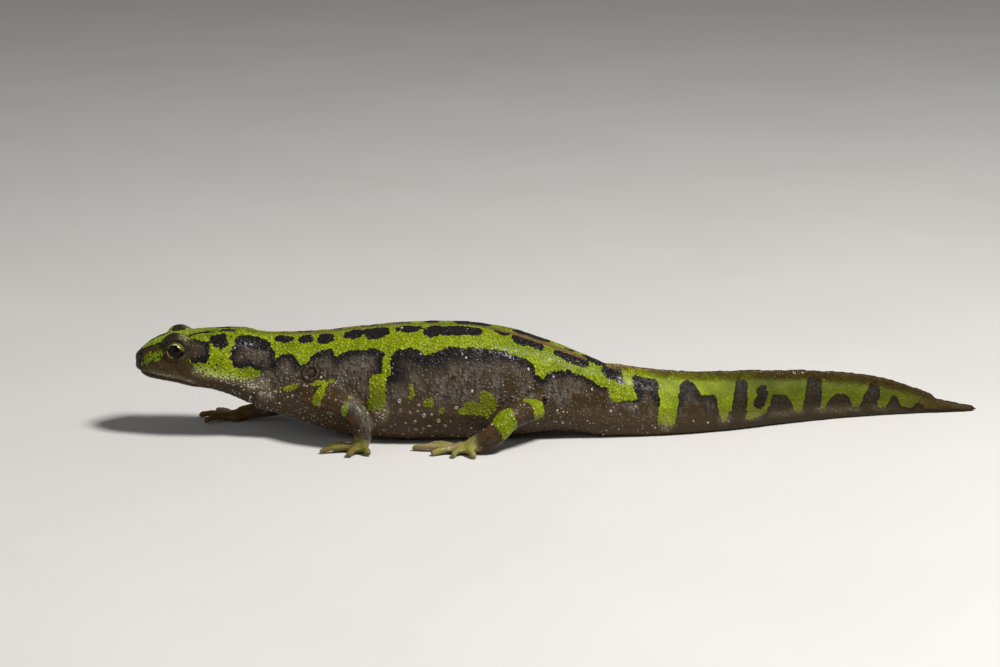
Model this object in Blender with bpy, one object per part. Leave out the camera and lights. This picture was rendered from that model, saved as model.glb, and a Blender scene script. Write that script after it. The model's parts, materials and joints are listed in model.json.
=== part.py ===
"""A marbled newt (Triturus marmoratus), a female in a slow walk, as a still life-size model.

Body measures are in millimetres and body coordinates: x runs back from the snout tip, y to the
newt's right, z up from the floor. The finished model faces -X and stands on z = 0 in metres.
"""

import math

import bmesh
import bpy
from mathutils import Vector

MM = 0.001
GAP = 0.3  # clear space kept between neighbouring solids
BODY_LENGTH = 148.5  # snout tip to tail tip, along the curved body
BODY_SIDES = 28
LIMB_SIDES = 12
DIGIT_SIDES = 7

# Profiles along the body: (distance behind the snout tip, value).
HEADING = ((0, -1), (18, -1), (34, 1), (52, 0), (68, -1), (84, 3), (98, 15), (110, 22), (124, 14), (148, 5))
TOP = (
    (0, 15.3), (2.4, 16.4), (4.1, 17.0), (6, 17.6), (10, 18.1), (14, 18.3), (18, 18.4), (23, 17.5),
    (28, 17.5), (33, 17.8), (40, 18.4), (46, 19.0), (55, 19.3), (62, 18.5), (69, 16.4), (74, 14.4),
    (79, 12.6), (88, 11.1), (96, 10.4), (104, 10.1), (111, 9.5), (119, 8.7), (126, 7.4), (132, 6.1),
    (138, 3.9), (142, 1.9), (148, 0.9),
)
BOTTOM = (
    (0, 11.4), (2.7, 10.5), (6, 9.7), (9.4, 8.9), (12.8, 8.4), (16, 7.4), (21, 4.9), (28, 2.8),
    (32, 1.3), (37, 0.1), (44, -0.4), (60, -0.45), (66, 0.1), (71, 0.8), (74, 0.8), (79, -0.4),
    (84, -0.5), (98, -0.5), (104, -0.35), (148, -0.15),
)
HALF_WIDTH = (
    (0, 3.2), (3, 4.2), (7, 5.2), (12, 6.1), (16, 6.0), (21, 5.3), (28, 6.5), (38, 8.2), (50, 9.2),
    (60, 8.6), (70, 6.2), (78, 4.7), (90, 3.5), (110, 2.5), (126, 1.7), (138, 1.0), (148, 0.6),
)
# The height of the widest point, as a share of the section's height.
WIDEST_AT = ((0, 0.42), (12, 0.36), (24, 0.45), (50, 0.44), (70, 0.45), (90, 0.42), (148, 0.45))
# Superellipse exponents: 2 is an ellipse, more is squarer, less is keeled.
TOP_ROUNDNESS = ((0, 2.3), (12, 2.6), (24, 2.2), (60, 2.2), (76, 1.9), (88, 1.7), (148, 1.8))
BOTTOM_ROUNDNESS = ((0, 2.3), (24, 2.2), (44, 2.5), (60, 2.5), (80, 2.1), (96, 2.0), (148, 1.9))
SNOUT_RADIUS = 4.2  # how far back the rounding of the snout reaches
SNOUT_HEIGHT = 13.6
TAIL_TIP_RADIUS = 2.0

# The crest is a thin upright blade along the top of the tail.
CREST_START = 79.3
CREST_END = 141.5
CREST_THICKNESS = 0.9
CREST_HEIGHT = ((79.3, 0.7), (90, 1.3), (126, 1.4), (136, 1.0), (141.5, 0.5))

# Where the body is parted: each node and its distance behind the snout tip.
SEGMENTS = (
    ("head", 0.0, 20.5), ("neck", 20.5, 27.0), ("chest", 27.0, 40.0), ("belly", 40.0, 62.0),
    ("pelvis", 62.0, 79.0), ("tail_base", 79.0, 98.0), ("tail_middle", 98.0, 121.0),
    ("tail_end", 121.0, BODY_LENGTH),
)
RING_SPACING = {"head": 1.4, "neck": 1.7}
USUAL_SPACING = 2.6

EYE_RADIUS = 1.7
EYE_AT = 7.4
EYE_SIDE = 3.9
EYE_HEIGHT = 15.5
ORBIT_RADII = (2.5, 2.0, 2.15)
ORBIT_SIDE = 3.1
ORBIT_HEIGHT = 16.2

JAW_BACK = 13.2
MOUTH_LINE = ((-2, 12.8), (2.9, 11.85), (5.4, 11.15), (8, 10.65), (10.2, 10.0), (JAW_BACK, 9.6))

# Limb joints, and the radius at each one.
LIMBS = {
    "front_left": {
        "names": ("upper_arm", "forearm", "hand"),
        "joints": ((27.0, -3.5, 8.6), (32.0, -8.1, 8.8), (37.0, -10.5, 7.3), (39.3, -11.5, 4.5), (38.8, -11.3, 1.2)),
        "radii": (2.1, 1.95, 1.85, 1.85, 1.4),
        "parts": (0.0, 2.15, 3.7),
        "palm": (38.4, -11.4, 0.75),
        "digits": ((32.8, -9.9), (31.8, -12.9), (36.8, -15.5), (40.4, -14.6)),
    },
    "front_right": {
        "names": ("upper_arm", "forearm", "hand"),
        "joints": ((27.0, 3.5, 7.8), (28.3, 8.2, 5.0), (24.9, 9.6, 2.5), (20.6, 9.0, 1.8), (16.9, 8.4, 1.2)),
        "radii": (2.1, 1.9, 1.7, 1.5, 1.2),
        "parts": (0.0, 2.15, 3.6),
        "palm": (16.2, 8.3, 0.75),
        "digits": ((10.7, 5.9), (9.4, 10.0), (12.2, 13.2), (17.0, 13.2)),
    },
    "hind_left": {
        "names": ("thigh", "shin", "foot"),
        "joints": ((72.0, -2.6, 6.9), (68.0, -7.6, 6.3), (63.8, -11.3, 5.7), (60.9, -12.8, 3.1), (57.0, -12.4, 1.2)),
        "radii": (2.3, 1.85, 2.0, 1.85, 1.3),
        "parts": (0.0, 2.1, 3.7),
        "palm": (55.8, -12.0, 0.8),
        "digits": ((50.2, -8.4), (47.2, -10.9), (50.6, -14.2), (54.2, -16.0), (58.0, -16.3)),
    },
    "hind_right": {
        "names": ("thigh", "shin", "foot"),
        "joints": ((70.6, 2.6, 7.4), (71.4, 8.0, 6.8), (74.2, 12.0, 5.9), (79.0, 13.8, 3.4), (83.2, 14.8, 1.2)),
        "radii": (2.5, 2.1, 2.1, 1.85, 1.3),
        "parts": (0.0, 2.1, 3.7),
        "palm": (84.2, 15.2, 0.8),
        "digits": ((81.0, 19.4), (84.4, 21.6), (88.2, 21.2), (90.2, 18.2), (89.6, 14.8)),
    },
}
DIGIT_ROOT_RADIUS = 0.68
DIGIT_TIP_RADIUS = 0.5
DIGIT_ARCH = 0.35  # how far the middle of a digit stands above the floor
PALM_RADIUS = 1.75
PALM_THICKNESS = 0.62  # share of the palm's radius

FLESH = (0.11, 0.08, 0.045, 1.0)
LIMB_FLESH = (0.13, 0.08, 0.035, 1.0)
TAIL_FLESH = (0.12, 0.16, 0.02, 1.0)
CREST_COLOUR = (0.09, 0.045, 0.015, 1.0)
EYE_COLOUR = (0.01, 0.01, 0.012, 1.0)


def smooth_through(knots):
    """A function that passes smoothly through the knots and never overshoots between them."""
    xs = [k[0] for k in knots]
    ys = [k[1] for k in knots]
    steps = [(ys[i + 1] - ys[i]) / (xs[i + 1] - xs[i]) for i in range(len(xs) - 1)]
    slopes = [steps[0]]
    for before, after in zip(steps, steps[1:]):
        slopes.append(0.0 if before * after <= 0 else 2 * before * after / (before + after))
    slopes.append(steps[-1])

    def value(x):
        if x <= xs[0]:
            return ys[0]
        if x >= xs[-1]:
            return ys[-1]
        i = max(j for j in range(len(xs) - 1) if xs[j] <= x)
        h = xs[i + 1] - xs[i]
        t = (x - xs[i]) / h
        return (
            ys[i] * (1 + 2 * t) * (1 - t) ** 2
            + slopes[i] * h * t * (1 - t) ** 2
            + ys[i + 1] * t * t * (3 - 2 * t)
            + slopes[i + 1] * h * t * t * (t - 1)
        )

    return value


heading = smooth_through(HEADING)
top = smooth_through(TOP)
bottom = smooth_through(BOTTOM)
half_width = smooth_through(HALF_WIDTH)
widest_at = smooth_through(WIDEST_AT)
top_roundness = smooth_through(TOP_ROUNDNESS)
bottom_roundness = smooth_through(BOTTOM_ROUNDNESS)
mouth_line = smooth_through(MOUTH_LINE)
crest_height = smooth_through(CREST_HEIGHT)


def walked_spine(step=0.5):
    """Plan positions along the body, found by walking back from the snout along the heading."""
    points = [Vector((0.0, 0.0))]
    for i in range(int(BODY_LENGTH / step)):
        angle = math.radians(heading((i + 0.5) * step))
        points.append(points[-1] + step * Vector((math.cos(angle), math.sin(angle))))
    sideways = points[int(50 / step)].y
    return step, [p - Vector((0, sideways)) for p in points]


SPINE_STEP, SPINE = walked_spine()


def spine_at(s):
    """The spine's plan position and its direction at distance s behind the snout tip."""
    i = min(max(int(s / SPINE_STEP), 0), len(SPINE) - 2)
    direction = SPINE[i + 1] - SPINE[i]
    return SPINE[i] + direction * (s / SPINE_STEP - i), direction.normalized()


def flesh_top(s):
    """The top of the body's own sections, which along the tail lies under the crest."""
    if not CREST_START <= s <= CREST_END:
        return top(s)
    entering = min(1.0, (s - CREST_START) / 1.5, (CREST_END - s) / 1.5)
    return top(s) - entering * (crest_height(s) + GAP)


def end_rounding(s):
    """Shrinks the sections to a point at the snout and the tail tip, as on a ball."""
    front = max(0.0, 1 - max(s, 0.0) / SNOUT_RADIUS)
    back = max(0.0, 1 - (BODY_LENGTH - s) / TAIL_TIP_RADIUS)
    return math.sqrt(max(0.0, 1 - front**2)) * math.sqrt(max(0.0, 1 - back**2))


def superellipse(angle, power):
    """(across, up) on a superellipse of radius 1, at this angle from its top."""
    across, up = math.sin(angle), math.cos(angle)
    return (
        math.copysign(abs(across) ** (2 / power), across),
        math.copysign(abs(up) ** (2 / power), up),
    )


def body_ring(s, grow=0.0):
    """The body's outline at distance s, made larger all round by grow."""
    place, along = spine_at(s)
    across = Vector((-along.y, along.x))
    size = end_rounding(s)
    centre = bottom(s) + widest_at(s) * (flesh_top(s) - bottom(s))
    centre = SNOUT_HEIGHT + (centre - SNOUT_HEIGHT) * min(1.0, s / SNOUT_RADIUS)
    up, down = size * (flesh_top(s) - centre) + grow, size * (centre - bottom(s)) + grow
    width = size * half_width(s) + grow
    ring = []
    for i in range(BODY_SIDES):
        angle = math.tau * i / BODY_SIDES
        upper = math.cos(angle) >= 0
        x, z = superellipse(angle, top_roundness(s) if upper else bottom_roundness(s))
        flat = place + across * (x * width)
        ring.append(Vector((flat.x, flat.y, centre + z * (up if upper else down))))
    return ring


def mesh_object(name, bm, colour, roughness=0.4):
    """Turns a bmesh that is in millimetres into an object of the newt, in metres."""
    bmesh.ops.scale(bm, vec=(MM, MM, MM), verts=bm.verts)
    bmesh.ops.recalc_face_normals(bm, faces=bm.faces)
    mesh = bpy.data.meshes.new(name)
    bm.to_mesh(mesh)
    bm.free()
    mesh.shade_smooth()
    material = bpy.data.materials.new(name)
    material.use_nodes = True
    shader = material.node_tree.nodes["Principled BSDF"]
    shader.inputs["Base Color"].default_value = colour
    shader.inputs["Roughness"].default_value = roughness
    mesh.materials.append(material)
    made = bpy.data.objects.new(name, mesh)
    newt.objects.link(made)
    return made


def loft(rings):
    """A closed skin over the rings. A ring of no size becomes a single point."""
    bm = bmesh.new()
    rows = []
    for ring in rings:
        point = (ring[0] - ring[len(ring) // 2]).length < 1e-6
        rows.append([bm.verts.new(p) for p in (ring[:1] if point else ring)])
    for first, second in zip(rows, rows[1:]):
        count = max(len(first), len(second))
        for i in range(count):
            j = (i + 1) % count
            if len(first) == 1:
                bm.faces.new((first[0], second[j], second[i]))
            elif len(second) == 1:
                bm.faces.new((first[i], first[j], second[0]))
            else:
                bm.faces.new((first[i], first[j], second[j], second[i]))
    for row in (rows[0], rows[-1]):
        if len(row) > 1:
            bm.faces.new(row)
    return bm


def stations(start, end, spacing):
    """Distances from start to end, closer together where the snout is round."""
    count = max(2, round((end - start) / spacing))
    even = [start + (end - start) * i / count for i in range(count + 1)]
    if start > 0:
        return even
    nose = [SNOUT_RADIUS * (1 - math.cos(math.radians(a))) for a in (0, 14, 28, 42, 56, 70)]
    return nose + [s for s in even if s > nose[-1] + 0.5 * spacing]


def body_segment(name, start, end, colour):
    """One length of the body, with half the gap taken off each end that has a neighbour."""
    first = start + (GAP / 2 if start > 0 else 0.0)
    last = end - (GAP / 2 if end < BODY_LENGTH else 0.0)
    spacing = RING_SPACING.get(name, USUAL_SPACING)
    return mesh_object(name, loft([body_ring(s) for s in stations(first, last, spacing)]), colour)


def make_crest():
    """The blade along the top of the tail, rounded at its edge and at its front and back."""
    rings = []
    count = 22
    outline = ((-1, 0.0), (-1, 0.55), (-0.62, 0.88), (0, 1.0), (0.62, 0.88), (1, 0.55), (1, 0.0))
    for i in range(count + 1):
        s = CREST_START + 1.5 + (CREST_END - CREST_START - 3.0) * i / count
        place, along = spine_at(s)
        across = Vector((-along.y, along.x)) * CREST_THICKNESS / 2
        low, height = top(s) - crest_height(s), crest_height(s)
        ring = []
        for side, up in outline:
            flat = place + across * side
            ring.append(Vector((flat.x, flat.y, low + height * up)))
        rings.append(ring)
    mesh_object("tail_crest", loft(rings), CREST_COLOUR)


def limb_point(limb, t):
    """A point and radius on the limb's smooth path: t counts joints, 0 at the body."""
    joints = [Vector(j) for j in limb["joints"]]
    i = min(max(int(t), 0), len(joints) - 2)
    u = t - i
    a, b = joints[i], joints[i + 1]
    slope_a = (b - joints[max(i - 1, 0)]) * (0.5 if i else 1.0)
    slope_b = (joints[min(i + 2, len(joints) - 1)] - a) * (0.5 if i + 2 < len(joints) else 1.0)
    place = (
        a * (1 + 2 * u) * (1 - u) ** 2
        + slope_a * u * (1 - u) ** 2
        + b * u * u * (3 - 2 * u)
        + slope_b * u * u * (u - 1)
    )
    radius = limb["radii"][i] * (1 - u) + limb["radii"][i + 1] * u
    return place, radius


def tube_ring(place, radius, along, sides):
    """A ring square to the direction along, starting on its upper side."""
    side = along.cross(Vector((0, 0, 1))).normalized()
    up = side.cross(along).normalized()
    turns = [math.tau * k / sides for k in range(sides)]
    return [place + radius * (math.cos(a) * up + math.sin(a) * side) for a in turns]


def limb_length(name, limb, start, end, colour):
    """The stretch of a limb between two places on its path, ending flat."""
    count = max(2, round(4 * (end - start)))
    rings = []
    for i in range(count + 1):
        t = start + (end - start) * i / count
        place, radius = limb_point(limb, t)
        along = limb_point(limb, t + 0.02)[0] - limb_point(limb, t - 0.02)[0]
        rings.append(tube_ring(place, radius, along, LIMB_SIDES))
    return mesh_object(name, loft(rings), colour)


def digit(name, root, tip, colour):
    """One finger or toe: a tapering tube with a low arch and a round end."""
    root, tip = Vector(root), Vector((tip[0], tip[1], DIGIT_TIP_RADIUS * 0.7))
    length = (tip - root).length
    rings = []
    for share in (0.0, 0.3, 0.6, 0.85, 0.96, 1.0):
        place = root.lerp(tip, share)
        place.z += DIGIT_ARCH * math.sin(math.pi * share) + 0.1
        left = (1 - share) * length
        radius = DIGIT_ROOT_RADIUS + (DIGIT_TIP_RADIUS - DIGIT_ROOT_RADIUS) * share
        rounding = math.sqrt(max(0.0, 1 - max(0.0, 1 - left / DIGIT_TIP_RADIUS) ** 2))
        rings.append(tube_ring(place, radius * rounding, tip - root, DIGIT_SIDES))
    return mesh_object(name, loft(rings), colour)


def combine(target, other, operation):
    """Adds a Boolean of another object to target."""
    modifier = target.modifiers.new(operation.lower() + "_" + other.name, "BOOLEAN")
    modifier.operation = operation
    modifier.solver = "EXACT"
    modifier.object = other


def as_tool(obj):
    """Moves an object among the tools, which shape the newt and are not part of it."""
    newt.objects.unlink(obj)
    tools.objects.link(obj)
    obj.hide_render = True
    obj.display_type = "WIRE"
    return obj


def ball(name, centre, radii, colour, segments=16, rings=10):
    """An ellipsoid with these radii along x, y and z."""
    bm = bmesh.new()
    bmesh.ops.create_uvsphere(bm, u_segments=segments, v_segments=rings, radius=1.0)
    bmesh.ops.scale(bm, vec=radii, verts=bm.verts)
    bmesh.ops.translate(bm, vec=centre, verts=bm.verts)
    return mesh_object(name, bm, colour)


def head_place(at, side, height):
    """A point beside the head's spine, in body coordinates."""
    place, along = spine_at(at)
    return Vector((place.x - along.y * side, place.y + along.x * side, height))


def mouth_cutter(name, gap):
    """A block that holds everything under the mouth line, from the snout to behind the jaw."""
    rings = []
    for s in [MOUTH_LINE[0][0] + i * 1.5 for i in range(12)]:
        s = min(s, JAW_BACK - gap)
        place, along = spine_at(max(s, 0.0))
        place = place + along * min(s, 0.0)
        side = Vector((-along.y, along.x)) * 12
        level = mouth_line(s) - gap
        corners = ((side, level), (-side, level), (-side, 0.0), (side, 0.0))
        rings.append([Vector((place.x + w.x, place.y + w.y, z)) for w, z in corners])
        if s == JAW_BACK - gap:
            break
    return as_tool(mesh_object(name, loft(rings), FLESH))


def make_head():
    """The head with its orbits, the lower jaw under the mouth line, and the two eyes."""
    head = body_segment("head", *SEGMENTS[0][1:], FLESH)
    jaw = body_segment("lower_jaw", *SEGMENTS[0][1:], FLESH)
    for side_name, side in (("left", -1), ("right", 1)):
        orbit = head_place(EYE_AT, side * ORBIT_SIDE, ORBIT_HEIGHT)
        eye = head_place(EYE_AT, side * EYE_SIDE, EYE_HEIGHT)
        combine(head, as_tool(ball("orbit_" + side_name, orbit, ORBIT_RADII, FLESH)), "UNION")
        socket = [EYE_RADIUS + GAP] * 3
        combine(head, as_tool(ball("socket_" + side_name, eye, socket, FLESH)), "DIFFERENCE")
        ball("eye_" + side_name, eye, [EYE_RADIUS] * 3, EYE_COLOUR)
    combine(head, mouth_cutter("under_mouth", 0.0), "DIFFERENCE")
    combine(jaw, mouth_cutter("jaw_space", GAP), "INTERSECT")


def make_limb(which, limb):
    """An arm or a leg in three solids, cut clear of the body and flat where it meets the floor."""
    upper_name, lower_name, end_name = (n + "_" + which for n in limb["names"])
    _, joint, wrist = limb["parts"]
    slack = 0.5 * GAP / 4.5  # half the gap, counted in joints, which lie about 4.5 mm apart
    upper = limb_length(upper_name, limb, 0.0, joint - slack, LIMB_FLESH)
    combine(upper, body_space, "DIFFERENCE")
    limb_length(lower_name, limb, joint + slack, wrist - slack, LIMB_FLESH)

    last = len(limb["joints"]) - 1
    end = limb_length(end_name, limb, wrist + slack, last, LIMB_FLESH)
    palm_at = Vector(limb["palm"])
    flat = (PALM_RADIUS, PALM_RADIUS, PALM_RADIUS * PALM_THICKNESS)
    combine(end, as_tool(ball("palm_" + which, palm_at, flat, LIMB_FLESH, 12, 8)), "UNION")
    for number, tip in enumerate(limb["digits"], 1):
        reach = (Vector((*tip, palm_at.z)) - palm_at).normalized()
        root = palm_at + reach * (PALM_RADIUS * 0.6)
        root.z = DIGIT_ROOT_RADIUS * 0.9
        name = f"digit_{which}_{number}"
        combine(end, as_tool(digit(name, root, tip, LIMB_FLESH)), "UNION")
    combine(end, floor, "DIFFERENCE")


def centre_on_origin():
    """Puts the middle of the newt's footprint over the origin."""
    bpy.context.view_layer.update()
    graph = bpy.context.evaluated_depsgraph_get()
    corners = [o.matrix_world @ Vector(c) for o in newt.objects for c in o.evaluated_get(graph).bound_box]
    middle = [(min(c[i] for c in corners) + max(c[i] for c in corners)) / 2 for i in (0, 1)]
    carrier = bpy.data.objects.new("newt_place", None)
    newt.objects.link(carrier)
    for made in [*newt.objects, *tools.objects]:
        if made is not carrier:
            made.parent = carrier
    carrier.location = (-middle[0], -middle[1], 0.0)


for old in list(bpy.data.objects):
    bpy.data.objects.remove(old)
newt = bpy.data.collections.new("marbled_newt")
tools = bpy.data.collections.new("shaping_tools")
bpy.context.scene.collection.children.link(newt)
bpy.context.scene.collection.children.link(tools)

floor_block = bmesh.new()
bmesh.ops.create_cube(floor_block, size=1.0)
bmesh.ops.scale(floor_block, vec=(400, 200, 20), verts=floor_block.verts)
bmesh.ops.translate(floor_block, vec=(70, 0, -10), verts=floor_block.verts)
floor = as_tool(mesh_object("floor", floor_block, FLESH))
space_rings = [body_ring(s, GAP) for s in stations(16.0, 90.0, USUAL_SPACING)]
body_space = as_tool(mesh_object("body_space", loft(space_rings), FLESH))

make_head()
for segment, begins, ends in SEGMENTS[1:]:
    length = body_segment(segment, begins, ends, TAIL_FLESH if "tail" in segment else FLESH)
    combine(length, floor, "DIFFERENCE")
make_crest()
for which_limb, measures in LIMBS.items():
    make_limb(which_limb, measures)
centre_on_origin()
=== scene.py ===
# %% [markdown]
# # A marbled newt
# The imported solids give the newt's size and stance. This lesson gives them one continuous skin, its
# folds, its green and brown-black marbling, wet gloss, eyes and warts. All measures are in millimetres.

import json
import math

import bmesh
import bpy
import numpy as np
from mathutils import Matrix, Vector
from mathutils.bvhtree import BVHTree

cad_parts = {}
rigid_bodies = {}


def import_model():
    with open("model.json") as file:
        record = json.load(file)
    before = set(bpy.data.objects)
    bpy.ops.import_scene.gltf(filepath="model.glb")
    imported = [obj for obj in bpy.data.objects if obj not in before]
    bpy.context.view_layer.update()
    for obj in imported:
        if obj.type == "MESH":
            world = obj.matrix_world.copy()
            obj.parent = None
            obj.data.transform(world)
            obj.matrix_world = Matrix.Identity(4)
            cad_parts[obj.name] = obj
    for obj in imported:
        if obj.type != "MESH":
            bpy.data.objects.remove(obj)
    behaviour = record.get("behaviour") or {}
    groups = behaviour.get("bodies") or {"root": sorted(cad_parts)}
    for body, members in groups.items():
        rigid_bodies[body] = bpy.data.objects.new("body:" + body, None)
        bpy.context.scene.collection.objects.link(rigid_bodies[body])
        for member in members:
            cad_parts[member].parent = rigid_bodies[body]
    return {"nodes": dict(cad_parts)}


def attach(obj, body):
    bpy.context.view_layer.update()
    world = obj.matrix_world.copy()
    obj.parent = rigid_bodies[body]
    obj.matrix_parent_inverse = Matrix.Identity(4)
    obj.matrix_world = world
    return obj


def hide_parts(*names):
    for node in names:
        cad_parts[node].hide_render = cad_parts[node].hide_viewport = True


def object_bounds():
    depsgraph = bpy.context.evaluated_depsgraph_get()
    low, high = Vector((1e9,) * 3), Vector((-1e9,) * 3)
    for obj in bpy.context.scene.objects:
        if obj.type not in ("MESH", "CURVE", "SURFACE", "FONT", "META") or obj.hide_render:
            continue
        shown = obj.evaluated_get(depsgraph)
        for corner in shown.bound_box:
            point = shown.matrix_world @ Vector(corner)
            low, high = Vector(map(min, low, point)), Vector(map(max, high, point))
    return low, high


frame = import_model()
cad_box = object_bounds()
MM = 0.001
nodes = frame["nodes"]
print("solids:", len(nodes), "box mm:", [round(float(v) / MM, 1) for c in cad_box for v in c])


# %% Read points of the solids
def vectors_of(mesh, what="co"):
    """A vector that each vertex of a mesh holds: its place or, if asked, its normal."""
    flat = np.empty(3 * len(mesh.vertices), np.float32)
    mesh.vertices.foreach_get(what, flat)
    return flat.reshape(-1, 3).astype(float)


def points_of(obj):
    """The vertices of a mesh object, in millimetres."""
    return vectors_of(obj.data) / MM


BODY = ("head", "lower_jaw", "neck", "chest", "belly", "pelvis", "tail_base", "tail_middle", "tail_end")
body_points = np.concatenate([points_of(nodes[name]) for name in BODY])
snout_x = float(body_points[:, 0].min())
print("trunk points:", len(body_points), "snout at x =", round(snout_x, 1))


# %% [markdown]
# ## Body addresses
# On a curved animal, "20 mm behind the snout, 8 mm down from the back" is a better address than x, y, z.
# Slices through the body solids give its midline, top, bottom and width. Every skin point then gets two
# numbers: how far back it lies along the body, and how far round from the middle of the back.

# %% Measure the body in slices
SLICE = 1.0
SLICE_REACH = 1.6
FEWEST = 4
slice_x = np.arange(snout_x, body_points[:, 0].max(), SLICE)
middle, top, bottom, half = (np.zeros(len(slice_x)) for _ in range(4))
for i, x in enumerate(slice_x):
    away = np.abs(body_points[:, 0] - x)
    near = body_points[away < SLICE_REACH]
    if len(near) <= FEWEST:
        near = body_points[np.argsort(away)[: 3 * FEWEST]]
    low, high = near.min(0), near.max(0)
    middle[i], half[i] = (low[1] + high[1]) / 2, (high[1] - low[1]) / 2
    top[i], bottom[i] = high[2], low[2]


def evened(values, passes=3):
    """A profile with its small steps smoothed away."""
    for _ in range(passes):
        values = np.convolve(np.pad(values, 1, mode="edge"), [0.25, 0.5, 0.25], mode="valid")
    return values


middle, top, bottom, half = (evened(v) for v in (middle, top, bottom, half))
slope = np.gradient(middle, slice_x)
along_body = np.concatenate([[0.0], np.cumsum(np.hypot(np.diff(slice_x), np.diff(middle)))])
print("body length:", round(float(along_body[-1]), 1), "widest:", round(2 * float(half.max()), 1))


# %% Give any point its address
ARC_STEPS = 16


def body_address(points):
    """(back, down, side): mm behind the snout, mm round from the middle of the back, -1 left or 1 right."""
    x, y, z = points.T
    tilt = np.arctan(np.interp(x, slice_x, slope))
    across = (y - np.interp(x, slice_x, middle)) * np.cos(tilt)
    x = x + across * np.sin(tilt)
    back = np.interp(x, slice_x, along_body)
    across = (y - np.interp(x, slice_x, middle)) * np.cos(tilt)
    high, low, wide = (np.interp(x, slice_x, v) for v in (top, bottom, half))
    centre, tall = (high + low) / 2, (high - low) / 2
    turn = np.abs(np.arctan2(across / wide, (z - centre) / tall))
    down = np.zeros(len(x))
    for step in range(ARC_STEPS):
        angle = turn * (step + 0.5) / ARC_STEPS
        down += np.hypot(wide * np.cos(angle), tall * np.sin(angle)) * turn / ARC_STEPS
    return back, down, np.where(across < 0, -1.0, 1.0)


# %% [markdown]
# ## One skin over all the solids
# The solids are parted by thin cuts, but a living skin has none. A copy of them all is swollen until the
# cuts close, remeshed into one even surface, smoothed, and drawn in again by nearly as much. Joining them
# with Booleans would leave sharp seams to hide; remeshing melts the solids into each other.

# %% Join, swell and remesh
EYES = ("eye_left", "eye_right")
SWELL = 0.22
VOXEL = 0.40
WELD = 0.001
SOCKET_FILL = 0.1
eye_centre = {name: (points_of(nodes[name]).min(0) + points_of(nodes[name]).max(0)) / 2 for name in EYES}
eye_radius = float(np.ptp(points_of(nodes["eye_left"])[:, 2])) / 2


def in_scene(name, data):
    """A new object of the scene that holds a mesh, a light or a camera."""
    made = bpy.data.objects.new(name, data)
    bpy.context.scene.collection.objects.link(made)
    return made


def new_object(name, bm):
    """A scene object made from a bmesh, which is then freed."""
    mesh = bpy.data.meshes.new(name)
    bm.to_mesh(mesh)
    bm.free()
    return in_scene(name, mesh)


def solids_in_mm(names):
    """A bmesh that holds a copy of some solids, in millimetres."""
    bm = bmesh.new()
    for name in names:
        bm.from_mesh(nodes[name].data)
    bmesh.ops.scale(bm, vec=[1 / MM] * 3, verts=bm.verts)
    return bm


def swollen_copy():
    """Every solid of flesh, grown by SWELL, with the eye sockets filled."""
    bm = solids_in_mm([name for name in nodes if name not in EYES])
    bmesh.ops.remove_doubles(bm, verts=bm.verts, dist=WELD)
    bm.normal_update()
    for v in bm.verts:
        v.co += v.normal * SWELL
    radius = eye_radius + SOCKET_FILL + SWELL
    for place in eye_centre.values():
        ball = bmesh.ops.create_uvsphere(bm, u_segments=24, v_segments=16, radius=radius)
        bmesh.ops.translate(bm, vec=Vector(place), verts=ball["verts"])
    return bm


def final_mesh(obj):
    """The mesh that an object's modifiers end in. The object itself is removed."""
    mesh = bpy.data.meshes.new_from_object(obj.evaluated_get(bpy.context.evaluated_depsgraph_get()))
    bpy.data.objects.remove(obj)
    return mesh


def remeshed(bm, voxel):
    """The outer surface of a mesh, rebuilt from even squares."""
    rough = new_object("rough_skin", bm)
    remesh = rough.modifiers.new("one surface", "REMESH")
    remesh.mode = "VOXEL"
    remesh.voxel_size = voxel
    return final_mesh(rough)


skin_mesh = remeshed(swollen_copy(), VOXEL)
print("remeshed skin:", len(skin_mesh.vertices), "points")

# %% Find the limbs
LIMBS = {
    "front_left": ("upper_arm_front_left", "forearm_front_left", "hand_front_left"),
    "front_right": ("upper_arm_front_right", "forearm_front_right", "hand_front_right"),
    "hind_left": ("thigh_hind_left", "shin_hind_left", "foot_hind_left"),
    "hind_right": ("thigh_hind_right", "shin_hind_right", "foot_hind_right"),
}


FARTHEST = 6.0
SEARCH_MARGIN = 3.0


def tree_of(names):
    """A search tree, in millimetres, over the faces of some solids."""
    bm = solids_in_mm(names)
    tree = BVHTree.FromBMesh(bm)
    bm.free()
    return tree


def distances(tree, points):
    """How far each point lies from a tree's faces, up to FARTHEST."""
    found = (tree.find_nearest(Vector(p), FARTHEST)[3] for p in points)
    return np.array([FARTHEST if d is None else d for d in found])


def meeting_point(name, other):
    """The middle of the cut where one solid faces another."""
    points = points_of(nodes[name])
    gaps = distances(tree_of([other]), points)
    return points[gaps <= gaps.min() + 0.25].mean(0)


limb_joints = {}
for limb, (upper, lower, end) in LIMBS.items():
    tips = points_of(nodes[end])
    wrist = meeting_point(end, lower)
    far = tips[np.argsort(np.linalg.norm(tips - wrist, axis=1))[-20:]].mean(0)
    root = points_of(nodes[upper])
    body_gap = distances(tree_of(BODY), root)
    shoulder = root[body_gap <= np.quantile(body_gap, 0.25)].mean(0)
    limb_joints[limb] = np.array([shoulder, meeting_point(upper, lower), wrist, far])
    print(limb, "joints:", [[round(float(c), 1) for c in p] for p in limb_joints[limb]])


# %% Tell limb from body
body_tree = tree_of(BODY)
limb_trees = {limb: tree_of(names) for limb, names in LIMBS.items()}
hand_trees = {limb: tree_of(names[2:]) for limb, names in LIMBS.items()}


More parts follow.
